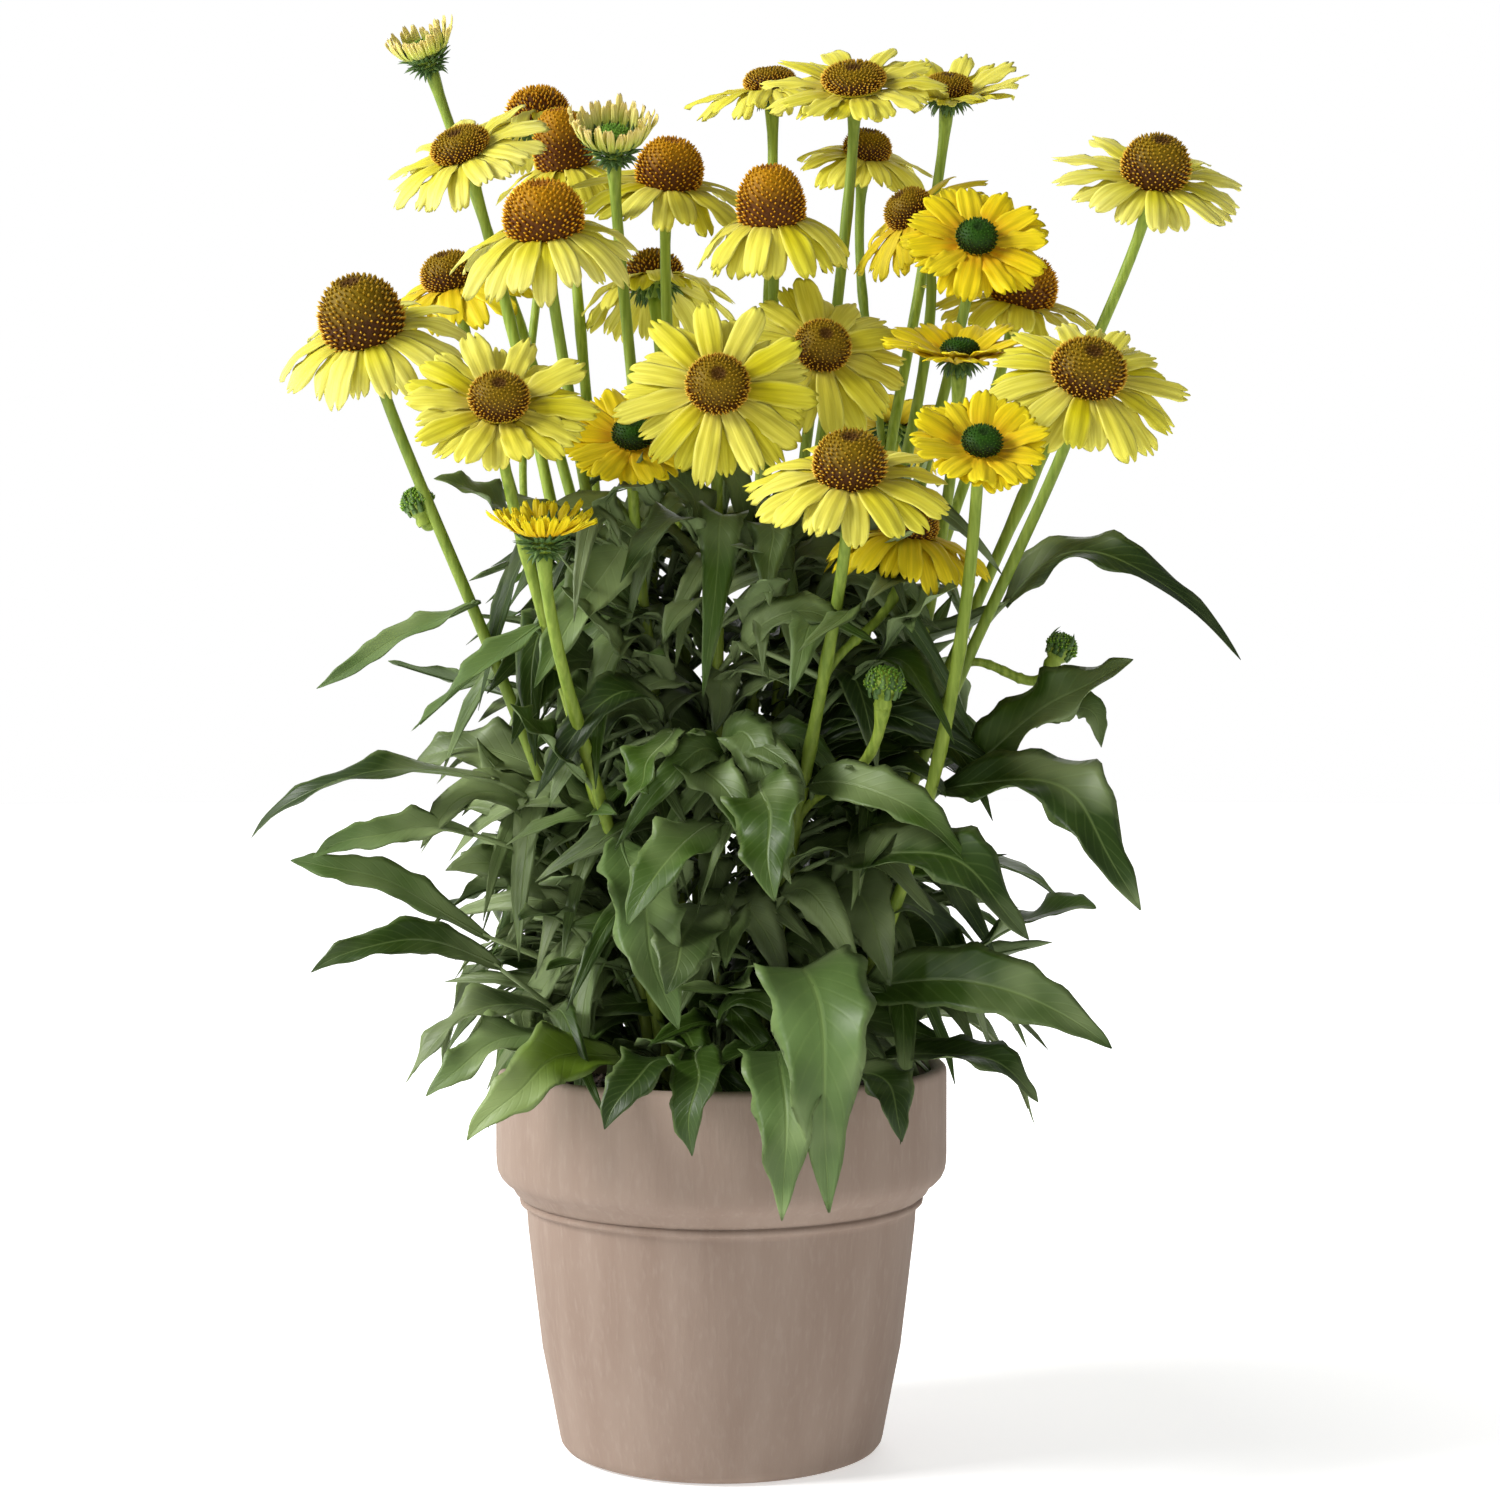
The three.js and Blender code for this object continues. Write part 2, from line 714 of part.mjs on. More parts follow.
function raySection(frame, plan, hub, share, halfWidth, notch) {
  const { out, height, slope } = rayPath(hub, plan.long, plan.rise, plan.fall, share);
  const outward = new THREE.Vector3().addScaledVector(frame.x, Math.cos(plan.angle))
    .addScaledVector(frame.y, Math.sin(plan.angle));
  const along = outward.clone().multiplyScalar(Math.cos(slope)).addScaledVector(frame.z, Math.sin(slope));
  const flat = frame.z.clone().cross(outward).normalize();
  const normal = along.clone().cross(flat).normalize();
  const side = flat.clone().multiplyScalar(Math.cos(plan.twist * share))
    .addScaledVector(normal, Math.sin(plan.twist * share));
  const middle = moved(frame.origin, [outward, out], [frame.z, height]);
  const lifted = moved(middle, [along, -notch]);
  return [
    moved(middle, [side, -halfWidth], [normal, -0.5]),
    moved(lifted, [normal, rayThickness * 0.4]),
    moved(middle, [side, halfWidth], [normal, -0.5]),
    moved(lifted, [normal, -rayThickness * 0.6]),
  ];
}

function rays(head, open) {
  const frame = frameOf(head);
  const hub = hubRadius(head);
  const plans = rayPlan(head);
  const width = rayHalfWidth(head);
  const count = plans.length;
  const rim = [];
  const blades = [];
  const inner = [];
  const innerLow = [];
  const hole = head.cone[0] * 0.86 + gap;
  plans.forEach((plan, k) => {
    const before = plans[(k + count - 1) % count];
    const gapAngle = Math.atan2(Math.sin(plan.angle - before.angle), Math.cos(plan.angle - before.angle));
    const edge = plan.angle - gapAngle / 2;
    rim.push(placed(frame, hub, edge, 0));
    inner.push(placed(frame, hole, edge, 0.6));
    innerLow.push(placed(frame, hole, edge, -0.6));
    blades.push({
      ridge: placed(frame, hub, plan.angle, 0.6),
      keel: placed(frame, hub, plan.angle, -0.7),
      sections: [
        raySection(frame, plan, hub, rayRoot, width * plan.wide, 0),
        raySection(frame, plan, hub, 1, width * plan.wide * 0.62, plan.notch),
      ],
    });
  });
  const shell = new Shell();
  const top = shell.ring(open ? inner : [placed(frame, 0, 0, 0.7)]);
  const low = shell.ring(open ? innerLow : [placed(frame, 0, 0, -0.8)]);
  star(shell, rim, blades, top, low);
  if (open) shell.band(top, low);
  return shell.geometry();
}

// Cone of florets: a dome whose vertices stand out and sink in by turns

const domeRows = [
  // height and radius as shares of the cone's height and radius
  [0, 0.84],
  [0.3, 1],
  [0.66, 0.84],
  [0.93, 0.46],
];

function cone(head) {
  const frame = frameOf(head);
  const [radius, height] = head.cone;
  const shell = new Shell();
  const foot = 1.15;
  const rings = domeRows.map(([rise, wide], row) => shell.ring(
    Array.from({ length: coneSides }, (_, i) => {
      const spine = row === 0 ? 0 : (i % 2 === row % 2 ? coneSpine : -coneSpine) * radius;
      const out = radius * wide + spine * (1 - rise * 0.5);
      return placed(frame, out, (2 * Math.PI * i) / coneSides, foot + height * rise + spine * rise);
    })));
  shell.cap(rings[0], false);
  for (let i = 1; i < rings.length; i += 1) shell.band(rings[i - 1], rings[i]);
  const dimple = head.cone[0] > 12 ? 0.93 : 1.02;
  shell.fan(rings[rings.length - 1], shell.vertex(placed(frame, 0, 0, foot + height * dimple)));
  return shell.geometry();
}

// Leaves

const bladeRows = [
  // share of the blade's length, half width as a share, side of the edge's wave
  [0, 0.2, 0],
  [0.16, 0.78, 1],
  [0.36, 1, -1],
  [0.58, 0.86, 1],
  [0.8, 0.5, -1],
];
const plainRows = [
  // the same, for the leaves that stand behind
  [0, 0.2, 0],
  [0.22, 0.86, 1],
  [0.5, 0.96, -1],
  [0.8, 0.5, 1],
];

// A leaf's midline from its foot over its middle point to its tip
function midline(leaf) {
  const [foot, middle, tip] = leaf.slice(0, 3).map(point);
  const bend = middle.clone().multiplyScalar(2).addScaledVector(foot, -0.5).addScaledVector(tip, -0.5);
  return new THREE.QuadraticBezierCurve3(foot, bend, tip);
}

// The place on a stem, or on the crown, that a leaf's stalk grows from
function stalkFoot(foot, stemPlaces) {
  if (foot.z < 235) {
    const share = Math.min(1, 40 / Math.hypot(foot.x, foot.y));
    return new THREE.Vector3(foot.x * share * 0.8, foot.y * share * 0.8, crownShoulder);
  }
  let best = null;
  let least = Infinity;
  for (const place of stemPlaces) {
    const far = place.distanceTo(foot) + Math.max(0, place.z - foot.z + 8) * 3;
    if (far < least) {
      least = far;
      best = place;
    }
  }
  return best;
}

function leafBlade(leaf, seed, stemPlaces, rows) {
  const draw = seeded(seed);
  const curve = midline(leaf);
  const half = leaf[3];
  const wave = leafWave * between(draw, 0.5, 1.2) * (half / 12);
  const roll = between(draw, -0.35, 0.35);
  const outward = new THREE.Vector3(curve.v2.x, curve.v2.y, 0).normalize();
  const wanted = curve.v0.y < 0 ? moved(up, [light, 1]) : moved(up, [outward, 0.6]);
  const section = (place, tangent, width, edgeWave) => {
    const { side, raised } = across(tangent, wanted);
    const turned = side.clone().multiplyScalar(Math.cos(roll)).addScaledVector(raised, Math.sin(roll));
    const normal = raised.clone().multiplyScalar(Math.cos(roll)).addScaledVector(side, -Math.sin(roll));
    const lift = width * leafFold;
    return [
      moved(place, [turned, -width], [normal, lift + edgeWave]),
      moved(place, [normal, leafThickness * 0.5]),
      moved(place, [turned, width], [normal, lift - edgeWave]),
      moved(place, [normal, -leafThickness * 0.5]),
    ];
  };
  const rings = [];
  const foot = curve.getPoint(0);
  const stalk = stalkFoot(foot, stemPlaces);
  rings.push(section(stalk, foot.clone().sub(stalk).normalize(), petioleHalfWidth, 0));
  for (const [share, wide, side] of rows) {
    rings.push(section(curve.getPoint(share), curve.getTangent(share), half * wide, side * wave));
  }
  rings.push([curve.getPoint(1)]);
  return loft(rings);
}

// Leaves round the back and inside of the clump, drawn by rule
function backLeaves() {
  const leaves = [];
  for (let i = 0; i < backLeafCount; i += 1) {
    const draw = seeded(2000 + i);
    const turn = radians(-8 + (196 * (i + between(draw, 0.1, 0.9))) / backLeafCount);
    const tier = i % 3;
    const height = [196, 262, 330][tier] + between(draw, -14, 26);
    const start = [70, 74, 66][tier] + between(draw, -8, 10);
    const long = between(draw, 78, 118) - tier * 8;
    const bend = between(draw, -0.3, 0.3);
    const spot = (radius, extra, z) => [
      radius * Math.cos(turn + extra), radius * Math.sin(turn + extra), z];
    const arch = between(draw, 4, 20);
    const droop = [between(draw, 22, 44), between(draw, -6, 34), between(draw, -34, 26)][tier];
    leaves.push([
      spot(start, 0, height),
      spot(start + long * 0.55, bend * 0.4, height + arch),
      spot(start + long * 0.94, bend, height - droop),
      between(draw, 10, 15),
    ]);
  }
  return leaves;
}

function innerLeaves() {
  return Array.from({ length: innerLeafCount }, (_, i) => {
    const draw = seeded(2500 + i);
    const place = ((i * 7) % innerLeafCount) + between(draw, 0.2, 0.8);
    const turn = radians(-172 + (164 * place) / innerLeafCount);
    const height = 204 + (180 * i) / innerLeafCount + between(draw, -8, 8);
    const start = between(draw, 46, 72);
    const long = between(draw, 56, 82);
    const bend = between(draw, -0.35, 0.35);
    const spot = (radius, extra, z) => [
      radius * Math.cos(turn + extra), radius * Math.sin(turn + extra), z];
    return [
      spot(start, 0, height),
      spot(start + long * 0.5, bend * 0.4, height + between(draw, 4, 16)),
      spot(start + long, bend, height - between(draw, 8, 48)),
      between(draw, 12, 17),
    ];
  });
}

// The whole green plant as one body

function plant() {
  const pieces = [crown()];
  const stemPlaces = [];
  for (const head of heads) {
    pieces.push(stalk(head));
    const curve = stemCurve(head);
    for (let i = 1; i < 16; i += 1) stemPlaces.push(curve.getPoint(i / 16));
  }
  [...frontLeaves, ...backLeaves(), ...innerLeaves()].forEach((leaf, i) => {
    const rows = i < frontLeaves.length ? bladeRows : plainRows;
    pieces.push(leafBlade(leaf, 3000 + i, stemPlaces, rows));
  });
  const whole = outerSkin(wasm.Manifold.union(pieces.map(solid)));
  return geometryOf(whole.simplify(finest));
}

// The group

const group = new THREE.Group();

function add(name, geometry, colour, roughness) {
  const material = new THREE.MeshStandardMaterial({ color: colour, roughness, metalness: 0 });
  geometry.computeVertexNormals();
  const mesh = new THREE.Mesh(geometry, material);
  mesh.name = name;
  group.add(mesh);
}

add('pot', pot(), colours.clay, 0.9);
add('soil', soil(), colours.soil, 1);
add('plant', plant(), colours.green, 0.6);
for (const head of blooms) {
  const young = head.cone[0] < 12;
  add(`bloom_${head.id}_rays`, rays(head, false), young ? colours.gold : colours.yellow, 0.6);
  add(`bloom_${head.id}_cone`, cone(head), young ? colours.young : colours.ripe, 0.8);
}
for (const bud of openingBuds) add(`bud_${bud.id}_rays`, rays(bud, true), colours.lime, 0.6);

export default group;
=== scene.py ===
import math

import bpy
import numpy as np
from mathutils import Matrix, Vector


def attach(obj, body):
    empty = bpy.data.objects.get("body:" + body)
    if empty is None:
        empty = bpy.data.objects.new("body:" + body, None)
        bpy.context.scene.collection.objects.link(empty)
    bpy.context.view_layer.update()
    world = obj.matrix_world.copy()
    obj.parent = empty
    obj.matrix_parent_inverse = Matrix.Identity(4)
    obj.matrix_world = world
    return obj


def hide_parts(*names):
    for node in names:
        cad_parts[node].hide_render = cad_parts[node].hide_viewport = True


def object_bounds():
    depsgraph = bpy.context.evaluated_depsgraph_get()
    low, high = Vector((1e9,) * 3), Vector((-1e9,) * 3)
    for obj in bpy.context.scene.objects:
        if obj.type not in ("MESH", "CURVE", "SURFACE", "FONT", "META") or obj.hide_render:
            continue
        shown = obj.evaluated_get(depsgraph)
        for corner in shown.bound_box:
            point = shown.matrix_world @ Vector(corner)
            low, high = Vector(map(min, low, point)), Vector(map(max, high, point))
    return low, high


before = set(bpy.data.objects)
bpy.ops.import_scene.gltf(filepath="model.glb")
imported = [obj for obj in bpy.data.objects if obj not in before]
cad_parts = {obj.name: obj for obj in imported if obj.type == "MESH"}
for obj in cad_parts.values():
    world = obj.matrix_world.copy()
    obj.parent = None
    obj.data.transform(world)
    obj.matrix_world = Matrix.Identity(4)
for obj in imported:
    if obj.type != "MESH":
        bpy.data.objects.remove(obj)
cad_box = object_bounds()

# A clump of yellow coneflowers in a clay pot. Tables and shapes are in millimetres, in the model's
# own frame (+Z up, viewer towards -Y), and meshes are made in metres.

MM = 0.001
TAU = 2 * math.pi
GOLDEN = math.pi * (3 - math.sqrt(5))  # the turn between two neighbouring spines of a seed head
UP = np.array([0.0, 0.0, 1.0])

# Camera: fitted to the pot's rim, foot and middle line in the photograph
PHOTO = 1500  # pixels, in width and in height
CAMERA_AT = (13.55, -1300.0, 350.0)
FOCAL_PX = 2734.0
HORIZON_PX = 708.5
SENSOR = 36.0

# Pot and soil
POT_HEIGHT = 182.0
RIM_R = 107.0
RIM_ROUND = 3.2
BAND_BOTTOM = 135.0
NECK_Z = 117.0
NECK_R = 92.5
BEAD = 1.7
BASE_R = 77.0
POT_SIDE = [(81, 27), (85.2, 48), (88.8, 78), (91.8, 104)]
WALL = 6.0
FLOOR_Z = 9.0
DRAIN_R = 6.0
DRAIN_CIRCLE = 42.0
SOIL_Z = 165.0
SOIL_GAP = 0.8
CRUMBS = 900
CROWN_R = 54.0
CROWN_FOOT = 150.0
CROWN_SHOULDER = 167.0
CROWN_TOP = 177.0
# Radius and height up the inside of the wall, from the floor to the rim band
INNER_WALL = [(BASE_R - WALL + 0.5, FLOOR_Z), (POT_SIDE[1][0] - WALL, POT_SIDE[1][1]),
              (NECK_R - WALL, NECK_Z - 6), (RIM_R - WALL - 1.5, BAND_BOTTOM - 2)]

# Stems, cups and rays
STEM_FOOT_R = 3.1
STEM_TIP_R = 2.6
STEM_FOOT_Z = 162.0
STEM_SPREAD = 0.3
STEM_REACH = 44.0
STEM_NECK = 46.0
STEM_ENDS = -8.0
CUP_RIM = -2.2
FLARE = 1.3
DIMPLE = 0.22
RAY_ROOT = 0.55
RAY_NOTCH = 2.6
RAY_HIDDEN = 4.5
RAY_THICK = 0.5
RAY_ROWS, RAY_COLS = 14, 13

# Leaves
LEAF_FOLD = 0.27
LEAF_WAVE = 2.4
LEAF_THICK = 0.4
BACK_LEAVES = 18
MIDDLE_LEAVES = 8
INNER_LEAVES = 545

# Number of faces round each turned or drawn part
POT_SIDES, SOIL_SIDES, CROWN_SIDES, CUP_SIDES = 144, 120, 40, 16
STEM_SIDES, HUB_SIDES, DOME_SIDES = 10, 24, 20

# First seed of each set of draws, to which a head or a leaf adds its number
SOIL_SEED, RAY_SEED, STEM_SEED, BRACT_SEED = 41, 700, 900, 4000
RING_SEED, CONE_SEED, DISC_SEED = 5000, 6000, 6500
BACK_SEED, MIDDLE_SEED, INNER_SEED = 2000, 2500, 8000
BLADE_SEED, TINT_SEED, SMALL_BLADE_SEED, SMALL_TINT_SEED = 3000, 9000, 9500, 9900

# Open blooms: middle of the cone's foot, lean of the axis and its compass turn, cone radius and
# height, number and length of rays, their slopes at the cone and at the tip, and where they differ
# from the others, the stem's bow and the length of its bent neck
BLOOMS = {
    "02": ((-127, 40, 622), 40, 240, (15.5, 10), 9, 32, 8, -24),
    "03": ((-99, 163, 663), 14, 150, (17.5, 18), 9, 31, -8, -60, (-24, 70)),
    "04": ((-82, 115, 630), 22, -110, (15.5, 31), 9, 32, -14, -62, (-24, 10)),
    "06": ((-27, 61, 611), 26, -75, (17.4, 22.5), 10, 36, 0, -32),
    "07": ((24, 8, 583), 22, -100, (17, 27), 10, 31, -16, -60),
    "08": ((-82, -22, 573), 27, -100, (19.5, 23.5), 10, 35, -10, -56),
    "09": ((-137, 82, 565), 30, -120, (15, 15), 9, 35, 2, -45),
    "10": ((-161, -56, 521), 36, -110, (20, 27), 10, 32, -2, -48),
    "11": ((-96, -104, 483), 50, -85, (13.8, 13), 10, 28, 14, -4),
    "12": ((-40, -52, 473), 46, -85, (10, 9), 10, 25, 12, 0),
    "13": ((-1, -66, 494), 66, -88, (15, 14), 11, 34, 4, -12),
    "14": ((47, -12, 518), 60, -80, (14, 14), 10, 34, 4, -24),
    "15": ((57, -108, 452), 34, -90, (16.8, 19.5), 10, 34, 2, -32),
    "16": ((85, -58, 429), 14, -60, (14, 15), 10, 33, -6, -60),
    "17": ((115, -100, 465), 46, -85, (9.5, 8), 10, 21, 24, 6, (60, -50), 22),
    "18": ((112, -14, 516), 20, -90, (9.5, 7), 10, 27, 34, 10, (40, 50)),
    "19": ((122, 14, 574), 56, -88, (10.5, 10), 11, 26, 16, -10),
    "20": ((149, 80, 556), 24, -60, (18.5, 23), 10, 33, 2, -34),
    "21": ((166, -60, 500), 48, -80, (17.8, 16), 11, 33, 0, -24),
    "22": ((205, 0, 602), 38, -80, (17, 20), 10, 33, 8, -22),
    "23": ((65, 60, 659), 36, -95, (16.4, 9), 10, 28, 12, -14),
    "24": ((24, 124, 672), 16, -110, (14, 10), 9, 34, 6, -30),
    "26": ((116, 122, 669), 26, -85, (13, 9), 10, 28, 32, 8, (10, 10)),
    "27": ((74, 128, 638), 26, -70, (13, 13), 9, 29, 2, -36),
    "28": ((94, 58, 594), 45, 215, (13, 13), 9, 31, 0, -30),
    "35": ((-36, 118, 570), 14, 110, (16, 17), 9, 33, -10, -62),
    "38": ((90, 150, 498), 32, 70, (13, 13), 9, 31, 6, -24),
}
OPENING_BUDS = {
    "01": ((-154, 112, 688), 34, 236, (10, 7), 9, 14, 50, 78, (30, 70)),
    "05": ((-52, 14, 622), 34, -90, (12, 9), 9, 17, 50, 76),
    "30": ((-76, -114, 427), 16, -90, (9.5, 6), 9, 17, 26, 44),
}
CLOSED_BUDS = {
    "31": ((-140, -30, 444), 20, 180, (7, 8), 0, 0, 0, -20),
    "32": ((73, -90, 359), 14, -70, (8, 9), 0, 0, 0, -20),
    "33": ((158, -24, 377), 30, 10, (6.5, 7.5), 0, 0, 0, -20),
}
# Side stems leave another bloom's stem at a share of its length
SIDE_STEMS = {
    "03": ("09", 0.55), "16": ("15", 0.62), "27": ("26", 0.5), "31": ("10", 0.66),
    "32": ("15", 0.4), "33": ("21", 0.52), "35": ("06", 0.55), "38": ("26", 0.4),
}
# Blooms and buds with looks of their own; amber is a colour of the cone, the others are of the rays
YOUNG = ("12", "17", "18", "19")
GOLD = (*YOUNG, "30")
PALE = ("02", "08", "10", "22")
WARM = ("09", "16", "28", "38")
AMBER = ("03", "04", "06", "07", "08", "20")

# Large leaves that show from the front: foot, highest or middle point, tip, half width
FRONT_LEAVES = [
    ((133, -20, 398), (179, -40, 421), (236, -60, 372), 12),
    ((-112, -30, 400), (-146, -50, 382), (-183, -60, 359), 8),
    ((-82, -60, 388), (-106, -90, 367), (-134, -110, 340), 10),
    ((-40, -30, 432), (-59, -60, 402), (-82, -90, 359), 13),
    ((-60, -80, 318), (-76, -100, 336), (-90, -120, 352), 11),
    ((-20, -80, 341), (-30, -110, 325), (-40, -130, 308), 11),
    ((-101, -50, 317), (-168, -70, 319), (-213, -60, 291), 9),
    ((-112, -60, 293), (-148, -80, 296), (-180, -90, 284), 9),
    ((-106, -46, 244), (-156, -60, 272), (-195, -60, 281), 10),
    ((-100, -56, 232), (-144, -76, 246), (-181, -90, 233), 10),
    ((-76, -66, 212), (-108, -95, 216), (-138, -102, 185), 11),
    ((-66, -75, 204), (-98, -112, 203), (-126, -125, 183), 12),
    ((-44, -80, 194), (-77, -124, 194), (-107, -138, 166), 14),
    ((-17, -86, 194), (-34, -130, 194), (-48, -146, 172), 13),
    ((-8, -90, 200), (-11, -134, 190), (-11, -142, 160), 12),
    ((24, -84, 196), (28, -138, 190), (27, -150, 134), 17),
    ((34, -70, 226), (41, -136, 226), (47, -148, 137), 24),
    ((18, -84, 320), (20, -120, 303), (24, -138, 268), 17),
    ((-44, -84, 292), (-32, -124, 258), (-17, -135, 213), 16),
    ((0, -84, 300), (-21, -120, 286), (-39, -132, 257), 14),
    ((-9, -80, 262), (-14, -124, 251), (-22, -142, 229), 16),
    ((40, -70, 316), (74, -106, 312), (109, -120, 282), 12),
    ((49, -74, 282), (91, -118, 286), (133, -130, 251), 18),
    ((100, -46, 312), (148, -86, 312), (184, -108, 262), 18),
    ((110, -34, 318), (152, -56, 352), (186, -70, 372), 16),
    ((146, -28, 342), (168, -32, 350), (176, -36, 332), 8),
    ((116, -50, 240), (145, -82, 259), (166, -98, 262), 12),
    ((62, -64, 222), (118, -108, 229), (170, -120, 203), 16),
    ((70, -70, 192), (110, -106, 198), (138, -122, 180), 12),
    ((52, -80, 186), (70, -128, 190), (78, -142, 166), 12),
    ((69, -49, 369), (88, -78, 394), (105, -92, 404), 10),
    ((-86, -54, 428), (-107, -75, 446), (-127, -84, 452), 10),
]
BRIGHT_LEAVES, BRIGHT_TINT = (12,), 0.84
PALE_LEAVES, PALE_TINT = (1, 2, 7, 15, 16, 18), 0.6


# Seeded draws

WORD = 0xFFFFFFFF


def seeded(seed):
    state = seed & WORD

    def draw():
        nonlocal state
        state = (state + 0x6D2B79F5) & WORD
        mixed = ((state ^ (state >> 15)) * (state | 1)) & WORD
        mixed ^= (mixed + (((mixed ^ (mixed >> 7)) * (mixed | 61)) & WORD)) & WORD
        return ((mixed ^ (mixed >> 14)) & WORD) / (WORD + 1)

    return draw


def between(draw, low, high):
    return low + (high - low) * draw()


# Vectors and curves

def unit(v):
    v = np.asarray(v, float)
    return v / np.maximum(np.linalg.norm(v, axis=-1, keepdims=True), 1e-9)


def smooth(values, low, high):
    t = np.clip((np.asarray(values, float) - low) / (high - low), 0, 1)
    return t * t * (3 - 2 * t)


def bell(values, middle, wide):
    return np.exp(-(((values - middle) / wide) ** 2))


def round_angles(sides):
    return np.arange(sides) * TAU / sides


def swing(first, second, angle):
    """The first direction, turned towards the second by each angle."""
    angle = np.asarray(angle)[..., None]
    return first * np.cos(angle) + second * np.sin(angle)


def polar(radius, angle, height):
    """A place beside the model's upright axis."""
    return radius * math.cos(angle), radius * math.sin(angle), height


class Head:
    """One bloom or bud: its table row with its own directions."""

    def __init__(self, key, row):
        self.key = key
        self.number = int(key)
        self.at = np.array(row[0], float)
        lean, turn = math.radians(row[1]), math.radians(row[2])
        self.cone_r, self.cone_h = row[3]
        self.rays, self.long, self.rise, self.fall = row[4:8]
        self.bow = row[8] if len(row) > 8 else (0, 0)
        self.neck = row[9] if len(row) > 9 else STEM_NECK
        self.z = np.array(polar(math.sin(lean), turn, math.cos(lean)))
        self.x = unit(np.cross([0, 1, 0], self.z))
        self.y = np.cross(self.z, self.x)
        self.young = key in YOUNG
        self.kind = "open" if key in BLOOMS else "opening" if key in OPENING_BUDS else "closed"
        self.hub = self.cone_r + (1.6 if self.rise > 10 else -1.6)
        self.cup_r = max(5.5, self.cone_r * (0.86 if self.kind == "opening" else 0.62))

    def place(self, radius, angle, height):
        """Places at a radius, an angle and a height of the head's own frame."""
        r, a, h = np.broadcast_arrays(*[np.asarray(v, float) for v in (radius, angle, height)])
        return (self.at + (r * np.cos(a))[..., None] * self.x + (r * np.sin(a))[..., None] * self.y
                + h[..., None] * self.z)

    def way(self, radius, angle, height):
        """The same, as directions."""
        return self.place(radius, angle, height) - self.at

    def rings(self, rows, sides):
        return [self.place(radius, round_angles(sides), height) for radius, height in rows]


HEADS = {key: Head(key, row) for table in (BLOOMS, OPENING_BUDS, CLOSED_BUDS) for key, row in table.items()}


def bezier(points, share):
    """Places on a Bezier curve with three or four points."""
    t = np.atleast_1d(np.asarray(share, float))[:, None]
    p = [np.asarray(q, float) for q in points]
    if len(p) == 3:
        return (1 - t) ** 2 * p[0] + 2 * (1 - t) * t * p[1] + t ** 2 * p[2]
    return (1 - t) ** 3 * p[0] + 3 * (1 - t) ** 2 * t * p[1] + 3 * (1 - t) * t ** 2 * p[2] + t ** 3 * p[3]


def bezier_tangent(points, share, step=1e-4):
    return unit(bezier(points, np.minimum(share + step, 1)) - bezier(points, np.maximum(share - step, 0)))


def stem_points(head):
    """The four points of the curve that a head's stem follows."""
    end = head.at + head.z * STEM_ENDS
    if head.key in SIDE_STEMS:
        carrier, share = SIDE_STEMS[head.key]
        foot = bezier(stem_points(HEADS[carrier]), share)[0]
        rise = foot + (end - foot) * 0.3 + UP * 8
    else:
        reach = min(1, STEM_REACH / (STEM_SPREAD * math.hypot(end[0], end[1])))
        foot = np.array([*(end[:2] * STEM_SPREAD * reach), STEM_FOOT_Z])
        rise = foot + (end - foot) * (0.2, 0.2, 0.42)
    rise = rise + (*head.bow, 0)
    neck = min(head.neck, np.linalg.norm(end - foot) * 0.4)
    return [foot, rise, end - head.z * neck - UP * neck * 0.35, end]


# Meshes

class Batch:
    """Gathers the faces of one piece. Each vertex keeps three numbers, which the materials read:
    how far across, how far along, and a tint."""

    def __init__(self):
        self.places = []
        self.spots = []
        self.faces = {3: [], 4: []}
        self.kinds = {3: [], 4: []}
        self.count = 0

    def add(self, places, blocks, across=0.0, along=0.0, tint=0.5, kinds=0):
        """Adds places and blocks of faces between them; kinds are the blocks' materials."""
        places = np.asarray(places, float).reshape(-1, 3)
        spot = np.empty((len(places), 3))
        for column, value in enumerate((across, along, tint)):
            spot[:, column] = np.broadcast_to(np.asarray(value, float).reshape(-1), (len(places),))
        for block, kind in zip(blocks, np.broadcast_to(kinds, len(blocks))):
            self.faces[block.shape[1]].append(block + self.count)
            self.kinds[block.shape[1]].append(np.full(len(block), kind))
        self.places.append(places)
        self.spots.append(spot)
        self.count += len(places)

    def mesh(self, name):
        mesh = bpy.data.meshes.new(name)
        places = np.concatenate(self.places) * MM
        blocks = [block for group in self.faces.values() for block in group]
        kinds = np.concatenate([kind for group in self.kinds.values() for kind in group])
        loops = np.concatenate([block.reshape(-1) for block in blocks])
        sizes = np.concatenate([np.full(len(block), block.shape[1]) for block in blocks])
        mesh.vertices.add(len(places))
        mesh.vertices.foreach_set("co", places.astype(np.float32).reshape(-1))
        mesh.loops.add(len(loops))
        mesh.loops.foreach_set("vertex_index", loops.astype(np.int32))
        mesh.polygons.add(len(sizes))
        starts = np.cumsum(sizes) - sizes
        for key, values in (("loop_start", starts), ("loop_total", sizes), ("material_index", kinds)):
            mesh.polygons.foreach_set(key, values.astype(np.int32))
        mesh.polygons.foreach_set("use_smooth", np.ones(len(sizes), bool))
        spot = mesh.attributes.new("spot", "FLOAT_VECTOR", "POINT")
        spot.data.foreach_set("vector", np.concatenate(self.spots).astype(np.float32).reshape(-1))
        mesh.update(calc_edges=True)
        mesh.validate()
        return mesh


def add_object(name, data):
    made = bpy.data.objects.new(name, data)
    bpy.context.scene.collection.objects.link(made)
    return made


